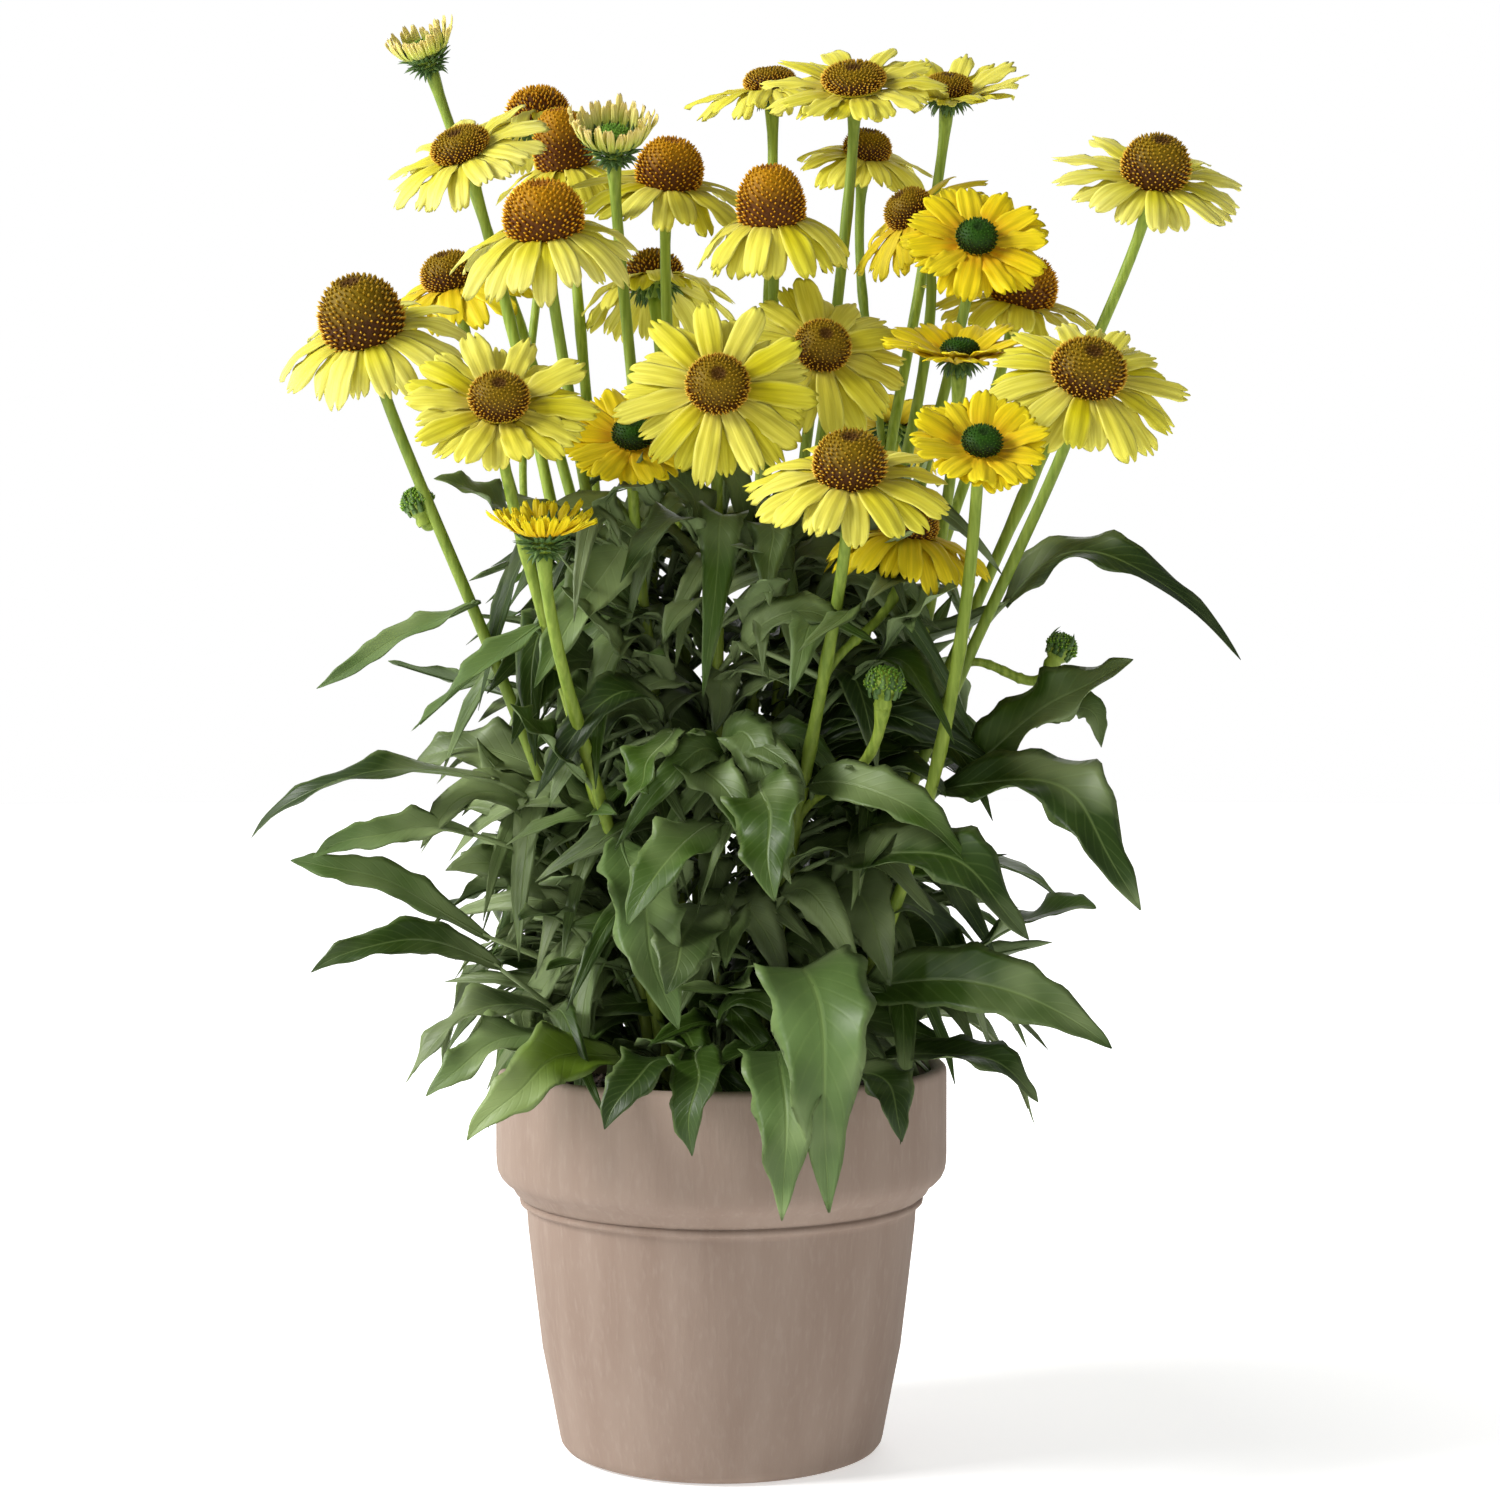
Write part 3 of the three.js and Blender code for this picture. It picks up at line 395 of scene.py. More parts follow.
def make_piece(name, batch, materials, nodes=("plant",)):
    """Adds a batch to the scene as a piece on the model's one body, inside the model's box."""
    batch.places = [np.clip(np.concatenate(batch.places), *(np.array(cad_box) / MM))]
    piece = add_object(name, batch.mesh(name))
    for material in materials:
        piece.data.materials.append(material)
    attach(piece, "root")
    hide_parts(*nodes)
    return piece


def grid_faces(grid, closed=False):
    """Four-cornered faces over a grid of vertex numbers; closed joins its last column to its first."""
    if closed:
        grid = np.concatenate([grid, grid[:, :1]], axis=1)
    return np.stack([grid[:-1, :-1], grid[1:, :-1], grid[1:, 1:], grid[:-1, 1:]], axis=-1).reshape(-1, 4)


def sheet(top, thick):
    """A closed blade below a grid of places, to which it shrinks at the rim: places, upper and lower faces.

    Both sides of a face are split along the same diagonal, so neither cuts through the other near the rim.
    """
    rows, cols = top.shape[:2]
    normal = np.cross(np.gradient(top, axis=0), np.gradient(top, axis=1))
    low = top - thick * normal / np.maximum(np.linalg.norm(normal, axis=-1, keepdims=True), 1e-9)
    places = np.concatenate([top.reshape(-1, 3), low[1:-1, 1:-1].reshape(-1, 3)])
    over = np.arange(rows * cols).reshape(rows, cols)
    under = over.copy()
    under[1:-1, 1:-1] = rows * cols + np.arange((rows - 2) * (cols - 2)).reshape(rows - 2, cols - 2)
    return places, [grid_faces(over), grid_faces(under)[:, [0, 3, 2, 1]]]


def on_sheet(values):
    """A grid of values, in the order of a sheet's vertices."""
    return np.concatenate([values.reshape(-1), values[1:-1, 1:-1].reshape(-1)])


def loft(batch, rings, low=None, high=None, **spots):
    """A skin round a stack of rings, drawn together to a place at its low and its high end."""
    rings = np.asarray(rings, float)
    rows, sides = rings.shape[:2]
    numbers = np.arange(rows * sides).reshape(rows, sides)
    turned = np.roll(numbers, -1, axis=1)
    places, faces = rings.reshape(-1, 3), [grid_faces(numbers, closed=True)[:, ::-1]]
    for hub, start, end in ((low, turned[0], numbers[0]), (high, numbers[-1], turned[-1])):
        if hub is not None:
            faces.append(np.stack([start, end, np.full(sides, len(places))], axis=-1))
            places = np.concatenate([places, np.reshape(hub, (1, 3))])
    batch.add(places, faces, **spots)


def lathe(batch, profile, sides):
    """A turned solid whose profile starts and ends on the axis."""
    body = np.array(profile, float)
    angles = round_angles(sides)
    rings = np.stack([body[:, :1] * np.cos(angles), body[:, :1] * np.sin(angles),
                      np.repeat(body[:, 1:], sides, axis=1)], axis=-1)
    loft(batch, rings[1:-1], (0, 0, body[0, 1]), (0, 0, body[-1, 1]))


def tube(batch, centres, radii, sides, wanted, kind=0, tint=0.5):
    """A tube through places, with a radius at each; wanted steadies its sections."""
    centres = np.asarray(centres, float)
    rows = len(centres)
    radii = np.broadcast_to(np.asarray(radii, float), (rows,))[:, None, None]
    tangents = unit(np.gradient(centres, axis=0))
    side = unit(np.cross(wanted, tangents))
    section = swing(side[:, None], np.cross(tangents, side)[:, None], round_angles(sides))
    across = np.append(np.tile(np.arange(sides) / sides, rows), [0, 0])
    along = np.append(np.repeat(np.linspace(0, 1, rows), sides), [0, 1])
    loft(batch, centres[:, None] + section * radii, centres[0], centres[-1],
         across=across, along=along, tint=tint, kinds=kind)


# Materials

def paint(colour):
    """A socket as it is, a share of grey, or red, green and blue from 0 to 255, as linear light."""
    if isinstance(colour, bpy.types.NodeSocket):
        return colour
    if isinstance(colour, tuple):
        return (*(v / 255 / 12.92 if v < 10.3 else ((v / 255 + 0.055) / 1.055) ** 2.4 for v in colour), 1.0)
    return colour, colour, colour, 1.0


class Nodes:
    """Short calls for the nodes of a tree."""

    def __init__(self, tree):
        self.tree = tree

    def node(self, kind, inputs=(), **settings):
        """A new node, with its settings and its inputs by name or in order."""
        made = self.tree.nodes.new(kind)
        for name, value in settings.items():
            setattr(made, name, value)
        for key, value in inputs.items() if isinstance(inputs, dict) else enumerate(inputs):
            self.put(made.inputs[key], value)
        return made

    def put(self, socket, value):
        if isinstance(value, bpy.types.NodeSocket):
            self.tree.links.new(value, socket)
        else:
            socket.default_value = value

    def math(self, operation, *values):
        return self.node("ShaderNodeMath", values, operation=operation).outputs[0]

    def times(self, value, factor):
        return self.math("MULTIPLY", value, factor)

    def ramp(self, share, *stops):
        made = self.node("ShaderNodeValToRGB", [share])
        elements = made.color_ramp.elements
        while len(elements) < len(stops):
            elements.new(0.5)
        for element, (place, colour) in zip(elements, stops):
            element.position, element.color = place, paint(colour)
        return made.outputs[0]

    def mix(self, share, first, second, blend="MIX"):
        inputs = {0: share, 6: paint(first), 7: paint(second)}
        return self.node("ShaderNodeMix", inputs, data_type="RGBA", blend_type=blend).outputs[2]

    def noise(self, scale, detail, stretch=(1, 1, 1)):
        place = {"Vector": self.node("ShaderNodeTexCoord").outputs["Object"], "Scale": stretch}
        return self.noise_at(self.node("ShaderNodeMapping", place).outputs["Vector"], scale, detail)

    def noise_at(self, place, scale, detail):
        inputs = {"Vector": place, "Scale": scale, "Detail": detail}
        return self.node("ShaderNodeTexNoise", inputs).outputs["Fac"]


class Shade(Nodes):
    """A material around one Principled shader, with plain values for its sockets."""

    def __init__(self, name, roughness, **plain):
        self.material = bpy.data.materials.new(name)
        self.material.use_nodes = True
        super().__init__(self.material.node_tree)
        self.shader = self.tree.nodes["Principled BSDF"]
        for socket, value in {"Roughness": roughness, **plain}.items():
            self.shader.inputs[socket.replace("_", " ")].default_value = value

    def spot(self):
        """Across, along and tint, as the meshes keep them."""
        kept = self.node("ShaderNodeAttribute", attribute_name="spot").outputs["Vector"]
        return self.node("ShaderNodeSeparateXYZ", [kept]).outputs

    def finish(self, colour, height=None, depth=0.001, strength=0.5):
        self.put(self.shader.inputs["Base Color"], colour)
        if height is not None:
            bump = self.node("ShaderNodeBump", {"Distance": depth, "Strength": strength, "Height": height})
            self.put(self.shader.inputs["Normal"], bump.outputs["Normal"])
        return self.material


def clay_material():
    shade = Shade("brushed_clay", 0.88, Specular_IOR_Level=0.3)
    mottle = shade.noise(9, 4)
    streak = shade.noise(60, 5, (1, 1, 0.07))
    fine = shade.noise(420, 3, (1, 1, 0.25))
    colour = shade.ramp(mottle, (0.3, (138, 119, 106)), (0.7, (146, 128, 115)))
    brushed = shade.ramp(streak, (0.35, (126, 107, 94)), (0.62, (153, 137, 124)))
    colour = shade.mix(0.3, colour, brushed)
    colour = shade.mix(shade.ramp(fine, (0.52, 0), (0.72, 0.22)), colour, (163, 148, 136))
    height = shade.math("ADD", shade.times(streak, 0.5), shade.times(fine, 0.4))
    return shade.finish(colour, height, 0.001, 0.4)


def soil_material():
    shade = Shade("potting_soil", 0.95)
    grain = shade.noise(260, 5)
    colour = shade.ramp(grain, (0.3, (26, 19, 13)), (0.55, (52, 39, 28)), (0.8, (92, 74, 55)))
    return shade.finish(colour, grain, 0.002, 0.9)


def stem_material(name, low, high, other, foot=(74, 82, 30)):
    shade = Shade(name, 0.55, Specular_IOR_Level=0.3)
    _, along, tint = shade.spot()
    lines = shade.noise(520, 3, (1, 1, 0.05))
    colour = shade.ramp(lines, (0.3, low), (0.7, high))
    colour = shade.mix(shade.times(tint, 0.4), colour, other)
    colour = shade.mix(shade.times(shade.ramp(along, (0.0, 1), (0.25, 0)), 0.5), colour, foot)
    return shade.finish(colour, lines, 0.0005, 0.5)


def leaf_material(name, roughness, dark, light):
    shade = Shade(name, roughness, Specular_IOR_Level=0.3)
    across, along, tint = shade.spot()
    away = shade.math("ABSOLUTE", across)
    colour = shade.ramp(tint, (0.0, dark), (0.45, light), (0.62, (98, 124, 66)),
                        (0.8, (92, 120, 30)), (1.0, (136, 158, 40)))
    colour = shade.mix(shade.times(shade.noise(34, 4), 0.55), colour, (24, 42, 8))
    # Painted sheen, partly a grey bloom of the leaves' own, lies pale over parts of the blades
    colour = shade.mix(shade.ramp(shade.noise(13, 3), (0.46, 0), (0.66, 0.55)), colour, (156, 172, 118))
    # Side veins run from the midrib towards the tip and part the blade into raised strips
    slant = shade.math("SUBTRACT", shade.times(along, 15.0), shade.times(away, 2.6))
    vein = shade.math("ABSOLUTE", shade.math("SUBTRACT", shade.math("FRACT", slant), 0.5))
    vein = shade.times(shade.ramp(vein, (0.0, 1), (0.16, 0)), 0.14)
    lines = shade.math("MAXIMUM", vein, shade.times(shade.ramp(away, (0.0, 1), (0.08, 0)), 0.6))
    colour = shade.mix(shade.times(lines, 0.6), colour, (124, 146, 80))
    colour = shade.mix(shade.ramp(away, (0.84, 0), (1.0, 0.4)), colour, (132, 152, 92))
    height = shade.math("SUBTRACT", shade.times(shade.noise(420, 2), 0.12), shade.times(lines, 1.4))
    return shade.finish(colour, height, 0.0006, 0.5)


def ray_material(name, root, middle, tip, pale=(238, 233, 132), depth=0.0003):
    shade = Shade(name, 0.6, Specular_IOR_Level=0.2, Subsurface_Weight=0.08, Subsurface_Scale=0.001,
                  Subsurface_Radius=(1.0, 0.8, 0.05))
    across, along, tint = shade.spot()
    colour = shade.ramp(along, (0.0, root), (0.3, middle), (1.0, tip))
    colour = shade.mix(shade.times(tint, 0.45), colour, pale)
    # Uneven fibres run along a ray, other ones on each
    place = [shade.times(value, scale) for value, scale in ((across, 5.0), (along, 1.3), (tint, 20.0))]
    fibres = shade.noise_at(shade.node("ShaderNodeCombineXYZ", place).outputs[0], 1.0, 2.0)
    colour = shade.mix(shade.ramp(fibres, (0.4, 0.4), (0.62, 0)), colour, (168, 154, 2))
    edge = shade.ramp(shade.math("ABSOLUTE", across), (0.7, 0), (1.0, 0.3))
    return shade.finish(shade.mix(edge, colour, pale), fibres, depth, 0.5)


def cone_material(name, stops, top, dimple):
    """Spines from their dark foot to their bright tip, over a dome that changes towards its top."""
    shade = Shade(name, 0.6, Specular_IOR_Level=0.15)
    across, along, tint = shade.spot()
    fleck = shade.noise(400, 2)
    reach = shade.math("ADD", along, shade.times(shade.math("SUBTRACT", fleck, 0.5), 0.3))
    colour = shade.mix(shade.ramp(reach, (0.6, 0), (0.9, 0.72)), shade.ramp(across, *stops), top)
    colour = shade.mix(shade.ramp(along, (0.968, 0), (0.99, 0.85)), colour, dimple)
    colour = shade.mix(shade.times(tint, 0.35), colour, (60, 34, 4))
    return shade.finish(colour, fleck, 0.0005, 0.4)


CLAY = clay_material()
SOIL = soil_material()
STEM = stem_material("stem_green", (108, 130, 30), (152, 170, 64), (78, 104, 30))
LEAF = leaf_material("leaf_upper", 0.46, (22, 40, 2), (60, 87, 18))
LEAF_UNDER = leaf_material("leaf_under", 0.62, (78, 98, 52), (118, 136, 88))
RAY_YELLOW = ray_material("ray_yellow", (168, 150, 2), (205, 194, 6), (220, 214, 62))
RAY_PALE = ray_material("ray_pale", (178, 168, 12), (213, 206, 46), (230, 225, 122))
RAY_WARM = ray_material("ray_warm", (178, 134, 2), (212, 180, 4), (220, 200, 16), (236, 218, 62))
RAY_GOLD = ray_material("ray_gold", (198, 132, 2), (222, 184, 2), (230, 210, 10), (236, 216, 40))
RAY_LIME = ray_material("ray_lime", (104, 146, 40), (172, 194, 70), (238, 208, 138), (238, 226, 150), 0.00005)
CONE_RIPE = cone_material(
    "cone_ripe", [(0.0, (50, 27, 2)), (0.35, (92, 50, 4)), (0.6, (180, 118, 12)), (0.9, (240, 204, 76))],
    (142, 116, 4), (66, 32, 2))
CONE_AMBER = cone_material(
    "cone_amber", [(0.0, (60, 31, 2)), (0.35, (122, 68, 4)), (0.6, (198, 126, 6)), (0.9, (246, 200, 54))],
    (196, 142, 4), (136, 78, 2))
CONE_YOUNG = cone_material(
    "cone_young", [(0.0, (8, 24, 2)), (0.5, (22, 48, 6)), (0.85, (66, 96, 14)), (1.0, (134, 146, 30))],
    (40, 88, 10), (16, 50, 6))
DISC_GREEN = cone_material(
    "disc_green", [(0.0, (46, 84, 16)), (0.5, (84, 128, 30)), (1.0, (156, 184, 76))],
    (104, 148, 48), (66, 106, 26))
BRACT = stem_material("bract_green", (54, 84, 34), (104, 132, 66), (40, 66, 28))


# Pot

def arc(radius, height, size, degrees):
    """Points of a profile round a middle."""
    return [(radius + size * math.cos(a), height + size * math.sin(a)) for a in np.radians(degrees)]


def pot_profile():
    """Radius and height round the pot's wall, from the middle of its underside to its inner floor."""
    foot = [(0, 0), (BASE_R - 9, 0), (BASE_R - 5, 0.3), (BASE_R - 2.2, 1.5), (BASE_R - 0.6, 3.6), (BASE_R, 6)]
    neck = [(NECK_R, NECK_Z - 4), (NECK_R + 0.2, NECK_Z - 2.2)]
    bead = arc(NECK_R + BEAD, NECK_Z + 0.6, BEAD, [-110, -70, -30, 10, 50, 90])
    chamfer = [(NECK_R + 2.4, NECK_Z + 2.6), (NECK_R + 5.5, NECK_Z + 5)]
    chamfer += [(RIM_R - inset, BAND_BOTTOM + rise)
                for inset, rise in ((7, -9.6), (4, -7.4), (2, -5.2), (0.7, -2.4), (0.15, 1))]
    band = [(RIM_R, BAND_BOTTOM + 5), (RIM_R, 150), (RIM_R, 165), (RIM_R, POT_HEIGHT - 5)]
    lip = arc(RIM_R - RIM_ROUND, POT_HEIGHT - RIM_ROUND, RIM_ROUND, [10, 35, 60, 90])
    lip += [(RIM_R - 5.2, POT_HEIGHT - 0.5), (RIM_R - WALL - 0.6, POT_HEIGHT - 2.6), (RIM_R - WALL - 1, 160)]
    return foot + POT_SIDE + neck + bead + chamfer + band + lip + INNER_WALL[::-1] + [(0, FLOOR_Z)]


def drill(piece, depth=30):
    """Cuts three drain holes through the pot's floor."""
    cutter = Batch()
    for degrees in (30, 150, 270):
        foot = np.array(polar(DRAIN_CIRCLE, math.radians(degrees), 0))
        tube(cutter, [foot - UP * depth, foot + UP * depth], DRAIN_R, 32, (1, 0, 0))
    tool = add_object("drain_tool", cutter.mesh("drain_tool"))
    cut = piece.modifiers.new("drains", "BOOLEAN")
    cut.operation, cut.solver, cut.object = "DIFFERENCE", "EXACT", tool
    bpy.context.view_layer.update()
    done = bpy.data.meshes.new_from_object(piece.evaluated_get(bpy.context.evaluated_depsgraph_get()))
    piece.modifiers.remove(cut)
    piece.data = done
    bpy.data.objects.remove(tool)


def make_pot():
    batch = Batch()
    lathe(batch, pot_profile(), POT_SIDES)
    drill(make_piece("clay_pot", batch, [CLAY], ["pot"]))


# Soil

def inside_radius(height):
    rows = INNER_WALL + [(RIM_R - WALL - 0.6, POT_HEIGHT)]
    return np.interp(height, [r[1] for r in rows], [r[0] for r in rows])


def make_soil():
    """The soil's rough top, its hidden sides, and crumbs in the shape of rough octahedra."""
    batch = Batch()
    draw = seeded(SOIL_SEED)
    angles = round_angles(SOIL_SIDES)
    waves = [(between(draw, 2, 17), between(draw, 0, TAU), between(draw, 0.03, 0.2)) for _ in range(12)]
    edge = float(inside_radius(SOIL_Z)) - SOIL_GAP
    heights = 10, 48, NECK_Z - 6, BAND_BOTTOM - 2, SOIL_Z - 3
    rings = [(inside_radius(z) - SOIL_GAP, np.full(SOIL_SIDES, z)) for z in heights]
    for radius in np.linspace(edge, CROWN_R * 0.7, 16):
        rings.append((radius, SOIL_Z + sum(
            size * 2.2 * np.sin(round(turns) * angles + phase + radius * 0.35 * size * 10)
            for turns, phase, size in waves)))
    rings = [np.stack([radius * np.cos(angles), radius * np.sin(angles), height], axis=-1)
             for radius, height in rings]
    loft(batch, rings, (0, 0, 10), (0, 0, SOIL_Z))
    corners = np.array([[1, 0, 0], [-1, 0, 0], [0, 1, 0], [0, -1, 0], [0, 0, 1], [0, 0, -1]], float)
    eight = np.array([[0, 2, 4], [2, 1, 4], [1, 3, 4], [3, 0, 4], [2, 0, 5], [1, 2, 5], [3, 1, 5], [0, 3, 5]])
    for _ in range(CRUMBS):
        radius = math.sqrt(between(draw, 40 ** 2, (edge - 2) ** 2))
        angle = between(draw, 0, TAU)
        size = between(draw, 0.7, 2.6)
        spread = np.array([[between(draw, 0.6, 1.3) for _ in range(3)] for _ in range(6)])
        middle = polar(radius, angle, SOIL_Z + between(draw, 0.2, 1.6))
        batch.add(middle + corners * spread * size, [eight], tint=draw())
    make_piece("soil_top", batch, [SOIL], ["soil"])


# Stems, with the green cups that they end in

def make_stems():
    batch = Batch()
    steps = np.linspace(0, 1, 30)
    for head in HEADS.values():
        draw = seeded(STEM_SEED + head.number)
        foot = STEM_TIP_R - 0.7 if head.key in SIDE_STEMS else STEM_FOOT_R
        radii = foot + (STEM_TIP_R - foot) * steps + FLARE * smooth(steps, 0.9, 1)
        for _ in range(3):
            radii = radii + 0.5 * bell(steps, between(draw, 0.1, 0.8), 0.018)
        tube(batch, bezier(stem_points(head), steps), radii, STEM_SIDES, head.y, tint=draw())
        cup_r = head.cup_r
        rows = [(STEM_TIP_R + FLARE * 0.8, -9.5), (STEM_TIP_R + FLARE + 0.3, -7.5), (cup_r * 0.66, -5.2),
                (cup_r * 0.92, -3.6), (cup_r, CUP_RIM)]
        if head.kind == "closed":
            rows += [(head.cone_r * r, head.cone_h * h)
                     for r, h in ((0.93, 0), (1, 0.25), (0.9, 0.55), (0.6, 0.85), (0.2, 1))]
        else:
            rows.append((cup_r * 0.8, -1.3))
        top = head.place(0, 0, rows[-1][1] + 0.4)
        loft(batch, head.rings(rows, CUP_SIDES), high=top, across=0.5, along=0.6)
    crown = Batch()
    profile = [(0, CROWN_FOOT), (CROWN_R, CROWN_FOOT), (CROWN_R, CROWN_SHOULDER - 3),
               (CROWN_R * 0.84, CROWN_SHOULDER + 2), (CROWN_R * 0.45, CROWN_TOP - 2), (0, CROWN_TOP)]
    lathe(crown, profile, CROWN_SIDES)
    make_piece("stems", batch, [STEM])
    make_piece("crown", crown, [SOIL])


def make_bracts():
    """Rosettes of narrow green bracts that bend back below each bloom, or close over a bud."""
    batch = Batch()
    for head in HEADS.values():
        draw = seeded(BRACT_SEED + head.number)
        rows = {"open": (13, 13, 10), "opening": (22, 22, 20, 18, 14), "closed": (11, 11, 9)}[head.kind]
        for row, k in [(row, k) for row, count in enumerate(rows) for k in range(count)]:
            angle = (k + row / 2 + between(draw, -0.15, 0.15)) * TAU / rows[row]
            long = between(draw, 6.5, 9.5) * (1 - 0.08 * row)
            if head.kind == "open":
                start = head.cup_r * (1 - 0.2 * row), CUP_RIM - 0.2 - row * 1.5
                slope0 = between(draw, -20, 8) - row * 16 + min(0, head.fall) * 0.2
                slope1 = slope0 - between(draw, 25, 60)
            elif head.kind == "opening":
                start = head.cup_r * (1.08 - 0.16 * row), CUP_RIM + 1.2 - row * 2.2
                slope0, slope1 = between(draw, 20, 56) - row * 12, between(draw, 30, 96) - row * 26
            else:
                start = head.cone_r * (1.0 - 0.1 * row), head.cone_h * (0.15 - 0.3 * row)
                slope0, slope1 = between(draw, 64, 84), between(draw, 112, 146) - row * 20
            bract(batch, head, angle, start, long, slope0, slope1, draw())
    make_piece("bracts", batch, [BRACT])


def bract(batch, head, angle, start, long, slope0, slope1, tint):
    """A narrow blade of four sides, from its start (radius and height) to a point."""
    half = np.array([1.35, 1.5, 1.3, 0.95, 0.55, 0.08])[:, None]
    rows = len(half)
    steps = np.linspace(0, 1, rows)
    slopes = np.radians(slope0 + (slope1 - slope0) * steps)
    stride = long / (rows - 1)
    out, height = [first + np.concatenate([[0], np.cumsum(way(slopes[1:]) * stride)])
                   for first, way in zip(start, (np.cos, np.sin))]
    middle = head.place(out, angle, height)
    side = head.way(1, angle + math.pi / 2, 0)
    normal = head.way(-np.sin(slopes), angle, np.cos(slopes))
    rings = np.stack([middle - side * half, middle + normal * 0.45 * half, middle + side * half,
                      middle - normal * 0.55 * half], axis=1)
    numbers = np.arange(rows * 4).reshape(rows, 4)
    blocks = [grid_faces(numbers, closed=True)[:, ::-1], numbers[:1], numbers[-1:, ::-1]]
    batch.add(rings, blocks, across=0.5, along=0.55 + 0.4 * np.repeat(steps, 4), tint=tint)


# Rays

# Spans of the draws for an upper and a lower ray: length, rise, fall, width, twist and notch
UPPER_SPANS = (0.86, 1.08), (-5, 3), (-13, 13), (0.88, 1.08), (-0.25, 0.25), (0.5, 1.3)
LOWER_SPANS = (0.76, 1.04), (-9, -5), (-18, 6), (0.8, 1.08), (-0.3, 0.3), (0.6, 1.4)


def ray_plan(head, draw, angle, spans):
    long, rise, fall, wide, twist, notch = [between(draw, low, high) for low, high in spans]
    return {"angle": angle, "long": head.long * long, "rise": head.rise + rise, "fall": head.fall + fall,
            "wide": wide, "twist": twist, "notch": notch * RAY_NOTCH, "drop": 0.0, "sway": 0.0}


def ray_plans(head):
    draw = seeded(RAY_SEED + head.number)
    start = between(draw, 0, math.pi)
    step = TAU / head.rays
    return [ray_plan(head, draw, start + step * (k + between(draw, -0.13, 0.13)), UPPER_SPANS)
            for k in range(head.rays)]


def under_plans(head, plans, draw):
    """Rays of the lower layer, in the spaces that the upper ones leave."""
    under = []
    for plan, after in zip(plans, plans[1:] + plans[:1]):
        angle = plan["angle"] + (after["angle"] - plan["angle"]) % TAU * between(draw, 0.4, 0.6)
        plan = ray_plan(head, draw, angle, LOWER_SPANS)
        under.append({**plan, "drop": 0.9, "sway": between(draw, -2.5, 2.5)})
    return under


def bud_plans(plans, draw):
    """Each place in an opening bud's ring holds five narrow rays, some more upright than others."""
    step = TAU / len(plans)
    return [{
        **plan,
        "angle": plan["angle"] + step * (part + between(draw, -0.05, 0.05)),
        "long": plan["long"] * between(draw, 0.85, 1.04) * (1 - up / 110),
        "rise": min(84, plan["rise"] + between(draw, -12, 4) + up),
        "fall": plan["fall"] + between(draw, -12, 16) + up * 0.4,
        "wide": between(draw, 0.25, 0.34),
        "twist": between(draw, -0.6, 0.6),
        "notch": 0.8,
    } for plan in plans for part, up in ((-0.4, 0), (-0.2, 24), (0, 4), (0.2, 32), (0.4, 12))]


def ray_path(hub, long, rise, fall, shares):
    """Distance out, height and slope of a ray's midline after each share of its length."""
    fine = np.linspace(0, 1.02, 52)
    slopes = np.radians(rise + (fall - rise) * fine)
    stride = long * (fine[1] - fine[0])
    middle = (slopes[1:] + slopes[:-1]) / 2
    out = hub + np.concatenate([[0], np.cumsum(np.cos(middle) * stride)])
    height = np.concatenate([[0], np.cumsum(np.sin(middle) * stride)])
    return [np.interp(shares, fine, values) for values in (out, height, slopes)]


def ray_sheet(batch, head, plan, half, draw):
    """One ray: grooved along its length, with a toothed tip and slightly waved edges."""
    cols = np.linspace(-1, 1, RAY_COLS)
    rows = np.linspace(0, 1, RAY_ROWS)
    # One tooth in the middle of the tip, or two beside it
    notch = plan["notch"] / plan["long"] * 1.5
    teeth = notch * bell(cols, 0, 0.17)
    if draw() > 0.45:
        teeth = 0.85 * notch * bell(np.abs(cols), 0.36, 0.14)
    reach = 1.01 - teeth - 0.1 * np.abs(cols) ** 2.6
    # The first millimetres run back below the cone
    share = (rows[:, None] * (plan["long"] * reach[None, :] + RAY_HIDDEN) - RAY_HIDDEN) / plan["long"]
    ahead = np.maximum(share, 0)
    back = np.minimum(share, 0) * plan["long"]
    out, height, slope = ray_path(head.hub, plan["long"], plan["rise"], plan["fall"], ahead)
    out = out + back
    height = height - plan["drop"] + back * 0.1
    width = half * plan["wide"] * np.interp(rows, [0, 0.12, 0.3, 0.5, 0.75, 0.92, 1],
                                            [0.5, 0.7, 0.94, 1.08, 1.1, 1.0, 0.78])
    relief = min(1, half * plan["wide"] / 3.5)
    phase, waves, size = between(draw, 0, TAU), between(draw, 1.2, 2.6), between(draw, 0.2, 1.2)
    edge = size * np.sin(waves * rows[:, None] * TAU + phase) * cols[None] ** 3
    curl = between(draw, -0.8, 2.4) * (rows[:, None] ** 3) * np.abs(cols[None]) ** 1.5
    camber = between(draw, 0.4, 1.3) * (np.cos(cols * math.pi / 2) - 0.45)
    grooves = -0.5 * bell(np.abs(cols), 0.4, 0.16)
    lift = relief * ((camber + grooves)[None] * np.minimum(1, rows[:, None] * 4 + 0.2) + edge - curl)
    outward = math.cos(plan["angle"]) * head.x + math.sin(plan["angle"]) * head.y
    flat = np.cross(head.z, outward)
    normal = np.cross(swing(outward, head.z, slope), flat)
    side = swing(flat, normal, plan["twist"] * share)
    sway = plan["sway"] * ahead ** 2
    middle = (head.at + out[..., None] * outward + height[..., None] * head.z + sway[..., None] * flat)
    top = middle + side * (width[:, None] * cols[None])[..., None] + normal * lift[..., None]
    batch.add(*sheet(top, RAY_THICK), on_sheet(np.tile(cols, (RAY_ROWS, 1))), on_sheet(ahead), draw())


